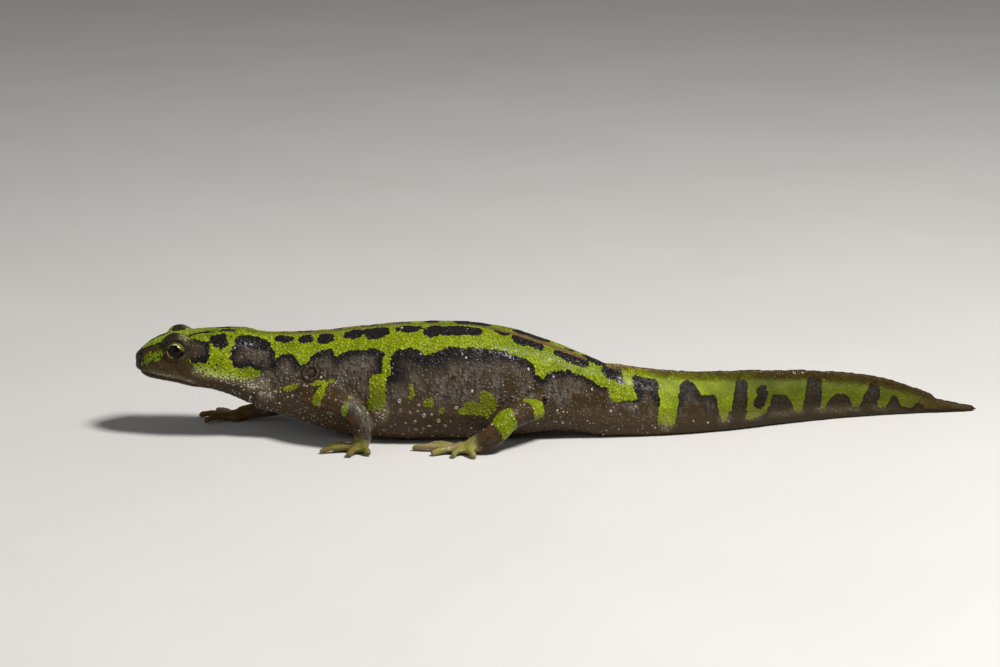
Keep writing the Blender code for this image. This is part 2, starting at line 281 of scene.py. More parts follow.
def limb_shares(points):
    """(share of each limb, largest share, hand gap). A share is the mm by which a point is nearer a limb
    than the body; the gap is the distance from the nearest hand or foot."""
    shares, hand_gap = {}, np.full(len(points), FARTHEST)
    for limb, names in LIMBS.items():
        shares[limb] = np.full(len(points), -FARTHEST)
        solid = np.concatenate([points_of(nodes[name]) for name in names])
        low, high = solid.min(0) - SEARCH_MARGIN, solid.max(0) + SEARCH_MARGIN
        inside = np.flatnonzero(np.all((points > low) & (points < high), axis=1))
        near = points[inside]
        shares[limb][inside] = distances(body_tree, near) - distances(limb_trees[limb], near)
        hand_gap[inside] = np.minimum(hand_gap[inside], distances(hand_trees[limb], near))
    return shares, np.max(list(shares.values()), axis=0), hand_gap


# %% Smooth the skin
def edges_of(mesh):
    """The two vertices of every edge, by number."""
    flat = np.empty(2 * len(mesh.edges), np.int32)
    mesh.edges.foreach_get("vertices", flat)
    return flat.reshape(-1, 2)


PULL_IN, PUSH_OUT = 0.5, -0.52
LEFT_SWOLLEN = 0.04


def pulled(co, edges, strength):
    """Each point moved towards the mean of its neighbours."""
    count = np.bincount(edges.ravel(), minlength=len(co)).clip(1)[:, None]
    total = np.empty_like(co)
    for axis in range(3):
        total[:, axis] = np.bincount(edges[:, 0], co[edges[:, 1], axis], len(co))
        total[:, axis] += np.bincount(edges[:, 1], co[edges[:, 0], axis], len(co))
    return co + strength * (total / count - co)


def smoothed(co, edges, strength, rounds):
    """Smoothing that keeps the volume: each pull in is followed by a push out."""
    for _ in range(rounds):
        co = pulled(co, edges, PULL_IN * strength)
        co = pulled(co, edges, PUSH_OUT * strength)
    return co


def stored(points):
    """The points, once the skin has been moved to them."""
    skin_mesh.vertices.foreach_set("co", points.astype(np.float32).ravel())
    skin_mesh.update()
    return points


def smoothed_skin(points, share, rounds):
    """The skin's points, smoothed by a share of 0 to 1 at each."""
    return stored(smoothed(points, edges_of(skin_mesh), share[:, None], rounds))


def pushed(points, push):
    """The skin's points, pushed out along its normals by so many mm at each."""
    return stored(points + vectors_of(skin_mesh, "normal") * push[:, None])


co = vectors_of(skin_mesh)
_, _, hand_gap = limb_shares(co)
co = smoothed_skin(co, 1.0 - 0.75 * np.clip(1.5 - hand_gap, 0, 1), 14)
co = pushed(co, np.full(len(co), LEFT_SWOLLEN - SWELL))
print("skin drawn in by", round(SWELL - LEFT_SWOLLEN, 2))

# %% Round out the tail tip
TIP_LENGTH = 2.2
TIP_RADIUS = 0.6
FLOOR_GAP = 0.02


def rounded_tip(points):
    """The end of the tail, which smoothing draws out to a thread, filled out again to a slim blunt cone."""
    solid = points_of(nodes["tail_end"])
    end = solid[solid[:, 0].argmax()]
    start = points[np.abs(points[:, 0] - end[0] + TIP_LENGTH) < 0.3].mean(0)
    share = np.clip((points[:, 0] - start[0]) / (points[:, 0].max() - start[0]), 0, 1)
    centre = start + share[:, None] * (end - start)
    out = vectors_of(skin_mesh, "normal")[:, 1:]
    out /= np.linalg.norm(out, axis=1).clip(1e-3)[:, None]
    round_out = centre[:, 1:] + out * (TIP_RADIUS * np.sqrt(1 - share**2))[:, None]
    blend = np.clip(share * 3, 0, 1)[:, None]
    fixed = points.copy()
    fixed[:, 1:] = points[:, 1:] * (1 - blend) + round_out * blend
    fixed[:, 2] = fixed[:, 2].clip(FLOOR_GAP)
    return fixed


near_tip = co[:, 0] > co[:, 0].max() - 1.8
co = smoothed_skin(rounded_tip(co), 1.0 * near_tip, 6)
print("the tail ends at", round(float(co[:, 0].max()), 2))


# %% Refine where the detail is
def refined(mesh, wanted):
    """The mesh with every face that touches a wanted point cut into four."""
    bm = bmesh.new()
    bm.from_mesh(mesh)
    bm.verts.ensure_lookup_table()
    chosen = {e for i in np.flatnonzero(wanted) for e in bm.verts[int(i)].link_edges}
    bmesh.ops.subdivide_edges(bm, edges=list(chosen), cuts=1, use_grid_fill=True)
    fresh = bpy.data.meshes.new("skin")
    bm.to_mesh(fresh)
    bm.free()
    bpy.data.meshes.remove(mesh)
    return fresh


def eye_gap(points):
    """Distance from the nearer eye's centre."""
    return np.min([np.linalg.norm(points - place, axis=1) for place in eye_centre.values()], axis=0)


SHOULDER = (30.2, 8.9)
NOSTRIL_BACK, NOSTRIL_ACROSS, NOSTRIL_HEIGHT = 1.15, 2.25, 14.7
HEAD_LENGTH = 21
LID_REACH = 1.6


def shoulder_gap(points):
    """Distance over the skin from the top of the shoulder."""
    back, down, _ = body_address(points)
    return np.hypot(back - SHOULDER[0], down - SHOULDER[1])


def nostril_gap(points):
    """Distance from the nearer nostril."""
    across = (middle[0] - NOSTRIL_ACROSS, middle[0] + NOSTRIL_ACROSS)
    places = [np.array([snout_x + NOSTRIL_BACK, y, NOSTRIL_HEIGHT]) for y in across]
    return np.min([np.linalg.norm(points - place, axis=1) for place in places], axis=0)


head = co[:, 0] < snout_x + HEAD_LENGTH - 0.5
skin_mesh = refined(skin_mesh, head | (hand_gap < 0.9) | (shoulder_gap(co) < 2.0))
co = vectors_of(skin_mesh)
head_share = np.clip((snout_x + HEAD_LENGTH - co[:, 0]) / 2, 0, 1)
_, _, hand_gap = limb_shares(co)
co = smoothed_skin(co, np.maximum(head_share, np.clip(1.2 - hand_gap, 0, 1)), 3)
skin_mesh = refined(skin_mesh, (eye_gap(co) < eye_radius + 1.1) | (nostril_gap(co) < 0.8))
co = vectors_of(skin_mesh)
co = smoothed_skin(co, np.clip(eye_radius + LID_REACH - eye_gap(co), 0, 1), 3)
faces = sum(p.loop_total - 2 for p in skin_mesh.polygons)
print("refined skin:", len(co), "points", faces, "triangles")


# %% [markdown]
# ## Sculpt the skin
# A remeshed skin is a plain balloon. The folds that make it an animal are pushed in and out along the
# surface normals: costal grooves, the groove down the back, the throat fold, nostrils, lips and eyelids.
# They could be carved by hand with sculpting brushes, but formulas keep every fold where its address says,
# and give the same skin each run.

# %% Tools for pushing the skin
LATTICE = 40
FAR_CORNER = 500


def rumple(points, size, seed):
    """Smooth noise from -1 to 1 whose lumps are about `size` mm across."""
    lattice = np.random.default_rng(seed).uniform(-1, 1, (LATTICE, LATTICE, LATTICE))
    place = points / size + FAR_CORNER
    cell = np.floor(place).astype(int)
    part = place - cell
    part = part * part * (3 - 2 * part)
    total = np.zeros(len(points))
    for corner in range(8):
        step = np.array([corner & 1, corner >> 1 & 1, corner >> 2 & 1])
        weight = np.prod(np.where(step, part, 1 - part), axis=1)
        i, j, k = ((cell + step) % LATTICE).T
        total += weight * lattice[i, j, k]
    return total


def ramp(values, start, end):
    """0 before start, 1 after end, eased between; start may be the larger."""
    share = np.clip((values - start) / (end - start), 0, 1)
    return share * share * (3 - 2 * share)


def span(values, start, full, falling, end):
    """0 before start, 1 between full and falling, and 0 again after end."""
    return ramp(values, start, full) * ramp(values, end, falling)


def ridge(distance, width):
    """1 on a line, falling to 0 about `width` mm from it."""
    return np.exp(-((distance / width) ** 2))


def along_line(knots, values):
    """A curve through (place, height) knots."""
    places, heights = zip(*knots)
    return np.interp(values, places, heights)


STEPS = np.arange(0, 150, 0.5)


def along_curve(knots, values, passes):
    """The same curve with its corners rounded off."""
    return np.interp(values, STEPS, evened(along_line(knots, STEPS), passes))


half_girth = np.pi * (half + (top - bottom) / 2) / 2
back, down, side = body_address(co)
_, limb_gap, hand_gap = limb_shares(co)
on_body = ramp(limb_gap, 0.6, -0.6)
print("points on the body:", int((on_body > 0.5).sum()))

# %% Fill out the back
BACK_LIFT = (
    (0, 0), (1.5, 0), (3, 0.10), (7, 0.10), (9, 0.04), (13, 0.04), (18, 0.12), (22, 0.18), (27, 0.24),
    (31, 0.20), (34, 0.20), (36.5, 0.33), (39, 0.46), (42, 0.46), (46, 0.38), (50, 0.20), (54, 0.14),
    (58, 0.14), (62, 0.17), (66, 0.22), (70, 0.32), (73, 0.48), (76, 0.55), (78, 0.42), (80, 0.42),
    (83, 0.42), (86, 0.30), (90, 0.30), (94, 0.20), (98, 0.05), (120, 0), (126, 0.30), (131, 0.38),
    (134, 0.22), (136.5, 0.10), (139.5, 0.42), (142, 0.30), (145, 0.10), (147, 0), (150, 0),
)
lift = along_curve(BACK_LIFT, back, 6)
lift *= ramp(down / np.interp(co[:, 0], slice_x, half_girth), 0.48, 0.06) * on_body
co[:, 2] += lift
co = stored(co)
print("back raised by up to", round(float(lift.max()), 2))


# %% Folds of the trunk and throat
RIB_SPACING = 3.3


def costal_grooves():
    """The shallow upright furrows between the ribs."""
    reach = span(back, 29, 33, 66, 70) * span(down, 5.5, 8, 16, 20)
    place = (back + 0.4 * rumple(co, 9, 3)) / RIB_SPACING
    return -0.14 * reach * np.maximum(0, np.cos(2 * np.pi * place)) ** 4


def back_groove():
    """The furrow along the middle of the back, from the nape to the hips, between two soft shoulders."""
    reach = span(back, 14, 22, 76, 82)
    return reach * (0.10 * ridge(down - 1.3, 0.7) - 0.16 * ridge(down, 0.55))


def throat_fold():
    """The loose fold across the throat, with a furrow in front of it."""
    place = back - along_line(((0, 24.5), (9, 22.5), (13, 20.6), (18, 20.0), (24, 20.0)), down)
    reach = ramp(down, 9.5, 12.5)
    return reach * (0.28 * ridge(place - 0.9, 0.8) - 0.30 * ridge(place, 0.45))


def shoulder_fold():
    """The small ring of loose skin over the top of the shoulder."""
    gap = shoulder_gap(co)
    return 0.20 * ridge(gap - 1.2, 0.22) - 0.20 * ridge(gap - 0.75, 0.20) + 0.10 * ridge(gap, 0.32)


push = (costal_grooves() + back_groove() + throat_fold()) * on_body + shoulder_fold()
push += 0.10 * rumple(co, 4.5, 11) * ramp(back, 4, 24)
push += 0.035 * rumple(co, 1.3, 12)
push += 0.05 * rumple(co, 0.62, 13) * ramp(eye_gap(co), 2.6, 3.6) * ramp(hand_gap, 0.3, 1.5)
co = pushed(co, push)
print("trunk folds, deepest:", round(float(push.min()), 2))

# %% Lips and nostrils
MOUTH_CORNER = 10.8
CHIN_DRAWN_IN = 0.5
jaw = points_of(nodes["lower_jaw"])
jaw_x = np.arange(jaw[:, 0].min(), jaw[:, 0].max(), SLICE / 2)
jaw_top = evened(np.array([jaw[np.abs(jaw[:, 0] - x) < SLICE_REACH / 2][:, 2].max() for x in jaw_x]))


def mouth_gap(points):
    """Height above the line where the lips meet."""
    return points[:, 2] - np.interp(points[:, 0], jaw_x, jaw_top)


def in_mouth(values):
    """1 in front of the corner of the mouth and 0 behind it."""
    return ramp(values, MOUTH_CORNER + 0.6, MOUTH_CORNER - 0.8)


chin = ramp(mouth_gap(co), 2.0, -0.2) * on_body
drawn_in = co[:, 0] - CHIN_DRAWN_IN * chin * ramp(back, 4.5, 1.0)
co[:, 0] = np.maximum(drawn_in, np.minimum(co[:, 0], snout_x + 0.2))
co[:, 2] -= CHIN_DRAWN_IN * chin * ramp(back, 7.5, 1.5)
jaw_top -= CHIN_DRAWN_IN * ramp(jaw_x - snout_x, 7.5, 1.5)
co = stored(co)
height = mouth_gap(co)
outside = ramp(np.abs(co[:, 1] - np.interp(co[:, 0], slice_x, middle)), 0.0, 0.6) + ramp(back, 2.0, 1.0)
lips = -0.40 * ridge(height, 0.20) + 0.10 * ridge(height - 0.75, 0.5) + 0.05 * ridge(height + 0.7, 0.5)
push = lips * np.clip(outside, 0, 1) * in_mouth(back)
gap = nostril_gap(co)
push += 0.07 * ridge(gap - 0.5, 0.2) - 0.34 * ridge(gap, 0.24)
co = pushed(co, push)
print("lips and nostrils, deepest:", round(float(push.min()), 2))

# %% Eyelids
EYE_OPENING = (math.radians(63), math.radians(55))
GAZE = (0.03, 0.96, 0.26)
LID_GAP = 0.15


def unit(vector):
    """A vector's direction, one long."""
    return vector / np.linalg.norm(vector)


def eye_frame(name):
    """The way an eye looks out, and the ways back along the head and up from there."""
    turn = -1.0 if name == "eye_left" else 1.0
    gaze = unit(np.array([GAZE[0], turn * GAZE[1], GAZE[2]]))
    behind = unit(np.array([1.0, 0.0, 0.0]) - gaze[0] * gaze)
    above = np.cross(behind, gaze) * -turn
    return gaze, behind, above * np.sign(above[2])


def eye_angles(points, name):
    """How far the direction to each point turns from the gaze: backwards, upwards, and the distance out."""
    gaze, behind, above = eye_frame(name)
    reach = points - eye_centre[name]
    out = np.linalg.norm(reach, axis=1)
    facing = reach @ gaze
    turned = np.arccos(np.clip(facing / out, -1, 1))
    level, rise = reach @ behind, reach @ above
    spread = np.hypot(level, rise).clip(1e-6)
    return turned * level / spread, turned * rise / spread, out


def lidded(points):
    """The skin drawn clear of each eyeball, with an opening in front of it and a rim round the opening."""
    points = points.copy()
    for name in EYES:
        level, rise, out = eye_angles(points, name)
        near = out < eye_radius + LID_REACH
        opening = np.hypot(level / EYE_OPENING[0], (rise - 0.06) / EYE_OPENING[1])
        opening -= 0.13 * ridge(level + 0.62, 0.35) * ridge(rise + 0.75, 0.35)
        lid = eye_radius + LID_GAP + 0.14 * ramp(opening, 1.02, 1.2) * ramp(rise, -0.8, 0.4)
        lid += 0.10 * ramp(opening, 1.04, 1.2)
        target = np.maximum(out, lid)
        hidden = ramp(opening, 1.02, 0.95)
        target = target * (1 - hidden) + (eye_radius - 0.4) * hidden
        scale = np.where(near, target / out, 1.0)
        points = eye_centre[name] + (points - eye_centre[name]) * scale[:, None]
    return points


# %% Ring folds round the eyes
RINGS = ((0.05, 1.9, 0.18), (-0.11, 2.16, 0.14), (0.04, 2.42, 0.15), (-0.06, 2.7, 0.13))
RING_SHADES = ((0.40, 2.16, 0.10), (0.22, 2.7, 0.10))
BOX_ROOM = ((0.02, 0.02, 0.0), (-0.02, -0.02, 0.4))


def ring_sum(from_axis, rings):
    """The sum of some rings, each given as (height, radius, width)."""
    return sum(height * ridge(from_axis - radius, width) for height, radius, width in rings)


def lid_rings(points):
    """(push, depth of painted shade) of the ring folds that lie round each eye on its outer side."""
    push, shade = np.zeros(len(points)), np.zeros(len(points))
    for name in EYES:
        gaze, _, above = eye_frame(name)
        reach = points - eye_centre[name]
        facing = reach @ gaze
        from_axis = np.linalg.norm(reach - facing[:, None] * gaze, axis=1)
        from_axis += 0.10 * rumple(points, 0.9, 17)
        outer = ramp(facing, -1.6, -0.2)
        outer *= 1 - 0.6 * ramp(reach @ above, 0.8, 2.0)
        push += outer * ring_sum(from_axis, RINGS)
        shade += outer * ring_sum(from_axis, RING_SHADES)
    return push, np.clip(shade, 0, 1)


co = stored(lidded(co))
push, lid_shade = lid_rings(co)
co = pushed(co, push)
low, high = (np.array(corner) / MM + room for corner, room in zip(cad_box, BOX_ROOM))
co = stored(np.clip(co, low, high))
print("skin lies between", np.round(co.min(0), 2), "and", np.round(co.max(0), 2))

# %% [markdown]
# ## The marbling
# A marbled newt is green with brown-black marbling and an orange line down the back. A picture could be
# stretched over the skin, but it would have seams and one fixed size. Here every mark is a plain shape at
# a body address, and each skin point stores how many mm it lies inside the green. The material then finds
# the edge, roughens it, and colours both sides, so the edges stay sharp at any distance.

# %% Shapes at a body address
SQUARE = 2.6


def oval(where, at, size, lean=0.0):
    """mm inside a squarish oval; `at` and half `size` are (along, down), `lean` turns its far end down."""
    turn = math.radians(lean)
    along, depth = where[0] - at[0], where[1] - at[1]
    u = (along * math.cos(turn) + depth * math.sin(turn)) / size[0]
    v = (depth * math.cos(turn) - along * math.sin(turn)) / size[1]
    near = ((np.abs(u) ** SQUARE + np.abs(v) ** SQUARE) ** (1 / SQUARE)).clip(1e-6)
    steep = [(np.abs(w) / near) ** (SQUARE - 1) / reach for w, reach in zip((u, v), size)]
    return (1 - near) / np.hypot(*steep).clip(1 / max(size))


def ovals(where, shapes):
    """mm inside the nearest of several ovals, each given as (along, down, half length, half depth, lean)."""
    return np.max([oval(where, s[:2], s[2:4], s[4] if len(s) > 4 else 0) for s in shapes], axis=0)


def band(where, start, end, radius):
    """mm inside a bar with round ends, between two addresses."""
    start, end = np.array(start, float), np.array(end, float)
    way = end - start
    along, depth = where[0] - start[0], where[1] - start[1]
    share = np.clip((along * way[0] + depth * way[1]) / (way @ way), 0, 1)
    return radius - np.hypot(along - share * way[0], depth - share * way[1])


def above_line(where, knots):
    """mm by which a point lies nearer the back than a line of (along, down) knots."""
    steep = np.interp(where[0], STEPS, np.gradient(along_line(knots, STEPS), STEPS))
    return (along_line(knots, where[0]) - where[1]) / np.hypot(1, steep)


# %% The lower edge of the green, from snout to tail tip
GREEN_EDGE = (
    (0, -0.5), (1, 0.5), (2, 2), (3.5, 2.9), (6, 3.8), (7.5, 3.5), (8.3, 2.6), (8.9, 2.9), (9.2, 7.2),
    (10, 8.6), (11.5, 9.7), (13.5, 10.4), (16, 10.7), (20, 10.6), (21.5, 9.7), (22.3, 7.2), (24.2, 6.6),
    (25.3, 5.3), (26.5, 5.3), (28.5, 7.2), (29.6, 7.6), (30.4, 6.2), (33.4, 5.1), (34.6, 7), (35.2, 6.5),
    (37, 6), (41.8, 6.5), (42.3, 7.4), (43.8, 8.3), (45, 7.1), (47, 7), (50.3, 8.3), (52, 7.8), (53.7, 6.9),
    (59, 6.8), (62, 6.3), (67.6, 6.3), (68.3, 8), (69.4, 8.5), (70.2, 6.9), (73.3, 5.1), (76, 4.8), (79, 5),
    (80.3, 5.6), (81, 6.6), (85.2, 5.4), (88, 8.6), (90, 9.2), (96, 8.8), (105, 8.3), (108, 7.2), (113, 7.1),
    (118.5, 6), (129, 4.6), (134, 3.4), (143, 1.6), (148, 1.2),
)
print("corners of the green's lower edge:", len(GREEN_EDGE))

# %% Dark marks on the green, and green marks on the dark
BACK_MARKS = (
    (25.5, 2.2, 1.5, 0.9, 14), (29.3, 2.4, 1.15, 1.2), (32.6, 2.5, 1.4, 1.3), (37.3, 2.5, 1.6, 1.3),
    (39.5, 2.1, 2.2, 0.65), (41.2, 2.8, 1.9, 1.45), (46.6, 2.45, 2.2, 0.9), (50.8, 3.2, 1.6, 1.55),
    (54.3, 3.1, 4.2, 1.3), (57.0, 3.1, 2.1, 1.1), (62.2, 2.1, 1.3, 0.5), (66.9, 2.7, 2.6, 1.0, -8),
    (65.6, 2.95, 1.1, 1.05), (74.2, 2.35, 2.9, 0.8, -6), (78.3, 0.6, 1.5, 0.9), (81.2, 1.6, 1.8, 1.3, 4),
)
FAR_BACK_MARKS = (
    (20.0, 0.6, 0.8, 0.3), (25.6, 1.3, 0.7, 0.7), (28.8, 1.7, 1.7, 1.3), (34.4, 1.6, 1.5, 1.25),
    (39.8, 1.6, 1.7, 1.2), (45.7, 1.8, 1.9, 1.2), (50.4, 1.5, 1.2, 1.4), (57.3, 1.8, 3.2, 1.4),
    (67.3, 1.6, 3.2, 1.3), (73.9, 1.1, 0.7, 0.6), (78.2, 0.9, 1.9, 1.4), (82.4, 2.2, 1.5, 1.3),
)
HEAD_MARKS = (
    (3.6, 0.0, 2.4, 0.5), (11.6, 5.9, 1.8, 1.95), (10.2, 5.1, 1.3, 1.5), (14.9, 4.1, 1.35, 1.4),
    (16.0, 0.95, 1.4, 0.65, 20), (20.6, 5.2, 3.2, 2.9), (18.6, 6.6, 1.9, 1.9), (22.8, 6.2, 1.4, 2.4),
)
TAIL_MARK = (106.9, 3.7, 1.1, 2.6, 16)
TEMPLE_LINE = ((8.2, 2.3), (9.4, 2.7), (10.3, 2.1), (12.6, 1.5), (14.8, 1.1))
TEMPLE_WIDTH = (0.45, 0.42, 0.30, 0.26)
TAIL_POSTS = (
    (84.4, 88.8, 0.7, 85.8, 88.7, 9.5), (92.7, 94.9, 0.6, 91.2, 99.2, 9.5),
    (95.6, 98.6, 2.9, 94.0, 99.6, 9.5), (102.4, 104.8, 0.5, 100.3, 103.6, 8.8),
    (109.2, 112.0, 3.0, 107.6, 113.1, 7.6),
    (116.2, 119.3, 0.4, 114.6, 118.3, 7.2), (121.7, 123.9, 2.4, 119.1, 124.8, 6.0),
    (128.1, 130.1, 0.3, 125.7, 129.2, 5.4), (132.3, 133.4, 1.2, 131.0, 134.0, 4.2),
    (136.9, 137.8, 1.3, 136.0, 138.8, 3.2),
)
FLANK_GREENS = (
    (3.8, 5.45, 1.75, 0.85, 2), (2.5, 4.7, 0.9, 0.7), (2.0, 5.4, 0.9, 0.55, 20), (4.3, 6.4, 0.7, 0.6),
    (2.7, 6.0, 0.6, 0.4, 10), (47.3, 14.5, 0.45, 1.6), (50.2, 16.4, 0.95, 1.0), (52.4, 17.8, 0.6, 0.6),
    (60.2, 15.6, 1.4, 1.9), (58.3, 17.2, 2.6, 1.3), (56.2, 17.8, 1.2, 0.7),
)
UPPER_BAR = ((43.0, 6.5), (43.0, 10.8), 0.8)
FLANK_BARS = (((25.2, 11.3), (28.4, 11.0), 0.38), ((41.5, 12.2), (41.1, 15.6), 1.45))
SHOULDER_BAR = ((30.8, 10.8), (34.0, 10.6), 0.38)
CORNER = 0.3


def post(where, shape):
    """mm inside a mark with slanting sides: its ends and depth above, then its ends and depth below."""
    left_top, right_top, head, left_foot, right_foot, foot = shape
    along, depth = where
    share = (depth - head) / (foot - head)
    left = along - (left_top + share * (left_foot - left_top))
    right = right_top + share * (right_foot - right_top) - along
    sides = np.stack([left, right, depth - head])
    return -CORNER * np.log(np.exp(np.clip(-sides / CORNER, -60, 60)).sum(0))


def main_green(where, back_marks):
    """mm inside the broad green of the back, on one side of the animal."""
    field = above_line(where, GREEN_EDGE)
    field = np.minimum(field, -ovals(where, back_marks + HEAD_MARKS + (TAIL_MARK,)))
    for shape in TAIL_POSTS:
        field = np.minimum(field, -post(where, shape))
    for start, end, width in zip(TEMPLE_LINE[:-1], TEMPLE_LINE[1:], TEMPLE_WIDTH):
        field = np.minimum(field, -band(where, start, end, width))
    return np.maximum(field, band(where, *UPPER_BAR))


def flank_green(where):
    """mm inside the small green marks low on the flank and before the eye."""
    field = ovals(where, FLANK_GREENS)
    for start, end, radius in FLANK_BARS:
        field = np.maximum(field, band(where, start, end, radius))
    return field


# %% [markdown]
# The two sides of a real newt never match. The right side uses the same flank, but its addresses are first
# shifted by slow waves, and it has back marks of its own. The two sides meet at the orange line, which
# wanders a little to the left over the hips.

# %% The green of both sides
back, down, side = body_address(co)
across = down * side
LINE_PATH = (
    (15, 0.4), (16.5, 0.3), (18, -0.8), (19.8, -1.1), (21.4, -0.5), (23, 0), (28, 0.25), (33, 0.35),
    (37, 0.2), (45, 0.2), (53, 0), (57, -0.9), (60.3, -1.4), (63.3, -1.7), (68, -1.75), (71, -1.6),
    (75, -1.3), (79, -0.9), (82, -0.3), (84.5, 0), (150, 0),
)
line_place = along_curve(LINE_PATH, back, 4)
is_left = across < line_place
where_left = (back, np.where(is_left, -across, down))
shift = 2.3 * np.sin(back / 5.3 + 1.0) + 1.6 * np.sin(back / 2.9)
shift *= ramp(back, 9, 16) * ramp(down, 2.2, 4.5)
from_line = across - line_place * ramp(down, 8, 1)
stretch = 1 + 0.10 * np.sin(back / 3.7) * ramp(back, 9, 16) * ramp(down, 3, 6)
where_right = (back + shift, from_line * stretch)
edge = np.where(is_left, main_green(where_left, BACK_MARKS), main_green(where_right, FAR_BACK_MARKS))
green = np.maximum(edge, np.where(is_left, flank_green(where_left), flank_green(where_right)))

# %% The brown upper eyelids
LID_DOMES = {
    "eye_left": ((-0.15, 0.7, 0.7), (2.25, 2.25, 2.4)),
    "eye_right": ((-0.05, -1.1, 0.5), (1.85, 2.9, 2.9)),
}
DOME_DEPTH = 5.0


def depth_in_lids(points):
    """mm inside the brown dome of either upper eyelid, each given as (offset from the eye, radii)."""
    reach = [
        np.linalg.norm((points - eye_centre[name] - offset) / radii, axis=1)
        for name, (offset, radii) in LID_DOMES.items()
    ]
    return DOME_DEPTH * (1 - np.min(reach, axis=0))


lid_depth = depth_in_lids(co)
green = np.minimum(green, -lid_depth)
edge = np.minimum(edge, -lid_depth)
print("green share of the body:", round(float((green > 0).mean()), 2))

# %% The orange line, down the back and along the crest
LINE_WIDTH = (
    (16.5, -0.3), (19, 0.20), (24, 0.36), (40, 0.42), (60, 0.40), (76.4, 0.36), (77.2, -0.5), (79.2, -0.5),
    (80.2, 0.28), (84, 0.30), (92, 0.40), (150, 0.40),
)
stripe = along_line(LINE_WIDTH, back) - np.abs(across - line_place)
print("points on the orange line:", int((stripe > 0).sum()))

# %% How wide the black border of each dark mark is
INK = (
    (0, 0.3), (8, 0.3), (9, 0.0), (10.4, 0.2), (11.6, 0.9), (13, 1.1), (24, 1.1), (26, 1.3), (42, 1.3),
    (46, 2.6), (58, 2.4), (64, 1.5), (72, 1.0), (80, 1.0), (84, 2.2), (98, 1.4), (102, 0.8), (110, 0.3),
    (150, 0.3),
)
ALL_BLACK = 4.0
BLACK_OVALS = (((106.9, 3.7), (1.3, 3.0)), ((14.9, 4.1), (2.0, 2.0)))
TAIL_START = 80
ink = along_line(INK, back) * along_line(((0, 1.0), (12.5, 1.0), (14.5, 0.0), (40, 0.0)), down)
ink = np.where(back > TAIL_START, ink * ramp(down, 7, 2.5), ink)
ink = np.maximum(ink, ALL_BLACK * ramp(down, 5.2, 4.2) * span(back, 16, 18, 80, 84))
for centre, radii in BLACK_OVALS:
    ink = np.maximum(ink, ALL_BLACK * ramp(oval((back, down), centre, radii), -0.2, 0.1))
ink *= 1 - ramp(back, 24, 22.5) * ramp(down, 7.8, 8.8)
ink *= 1 - ramp(back, 10.2, 9.2) * ramp(down, 6.0, 7.0)
ink *= 1 - ramp(shoulder_gap(co), 2.4, 1.5)
print("widest border:", round(float(ink.max()), 2))

# %% Marks of the limbs
LIMB_GREENS = {
    "front_left": ((1.1, 0.65), (6.5, 0.7), (13.2, 0.7), (17.5, 0.9)),
    "front_right": ((1.5, 0.7), (6.5, 0.5), (13.6, 0.4), (16.8, 0.3)),
    "hind_left": ((1.5, 1.3), (8.0, 1.5), (14.7, 1.2), (19.5, 0.8)),
    "hind_right": ((1.6, 1.4), (7.4, 1.2), (14.6, 1.1), (20.0, 0.8)),
}
NOT_GREEN = -3.0


def limb_address(points, limb):
    """How far along the limb each point lies, from shoulder or hip, in mm."""
    best, along, start = np.full(len(points), 1e9), np.zeros(len(points)), 0.0
    joints = limb_joints[limb]
    for first, (a, b) in enumerate(zip(joints[:-1], joints[1:])):
        reach = np.linalg.norm(b - a)
        share = (points - a) @ (b - a) / reach**2
        share = np.clip(share, -1 if first == 0 else 0, 1 if first < 2 else 2)
        gap = np.linalg.norm(points - a - share[:, None] * (b - a), axis=1)
        closer = gap < best
        best, along = np.where(closer, gap, best), np.where(closer, start + share * reach, along)
        start += reach
    return along


shares, limb_gap, hand_gap = limb_shares(co)
limb_along, limb_green = np.zeros(len(co)), np.full(len(co), NOT_GREEN)
for limb in LIMBS:
    mine = shares[limb] > -1.5
    along = limb_address(co[mine], limb)
    field = np.max([width - np.abs(along - at) for at, width in LIMB_GREENS[limb]], axis=0)
    limb_along[mine], limb_green[mine] = along, field
limb_green += 0.7 * rumple(co, 1.6, 21) - 0.1
stripe = np.where(limb_gap > 0.3, NOT_GREEN, stripe)
green = np.where(limb_gap > -0.2, np.maximum(limb_green, np.minimum(green, -limb_gap - 0.2)), green)
green = np.maximum(green, np.where(is_left, band(where_left, *SHOULDER_BAR), NOT_GREEN))
edge = np.minimum(edge, -limb_gap - 1.5)
print("points on limbs:", int((limb_gap > 0).sum()))

# %% Soft fields: underside, warm brown, limbs
TEMPLE = ((11.3, 5.9), (2.4, 2.5))
lengthwise, _, upward = vectors_of(skin_mesh, "normal").T
under = down / np.interp(co[:, 0], slice_x, half_girth)
foot = ramp(hand_gap, 1.2, 0.2)
on_limb = ramp(limb_gap, -0.6, 0.6)
temple = ramp(oval(where_left, *TEMPLE), -0.5, 0.8)
warm = span(back, 0.2, 1.8, 11, 17) * (1 - 0.8 * temple) * (1 - 0.6 * ramp(lid_depth, 0.0, 1.0))
on_front = on_limb * (np.maximum(shares["front_left"], shares["front_right"]) > -0.5)
far_arm = on_limb * (shares["front_right"] > -0.5)
rusty = 0.8 * span(limb_along, -3.0, -1.0, 4.4, 5.6) * ramp(upward, 0.55, 0.1)
rusty += span(limb_along, 7.2, 8.2, 10.8, 12.2) * ramp(lengthwise, 0.05, -0.5)
rusty = on_front * np.maximum(rusty, 0.9 * far_arm * ramp(limb_along, 10.0, 13.0))
# Painted sheen: a bluish-grey wash on the side of each forearm that faces the key light.
painted_forearm_sheen = on_front * span(limb_along, 5.6, 6.8, 11.5, 13.0) * ramp(lengthwise, -0.5, 0.0)
print("points on hands and feet:", int((foot > 0.5).sum()))


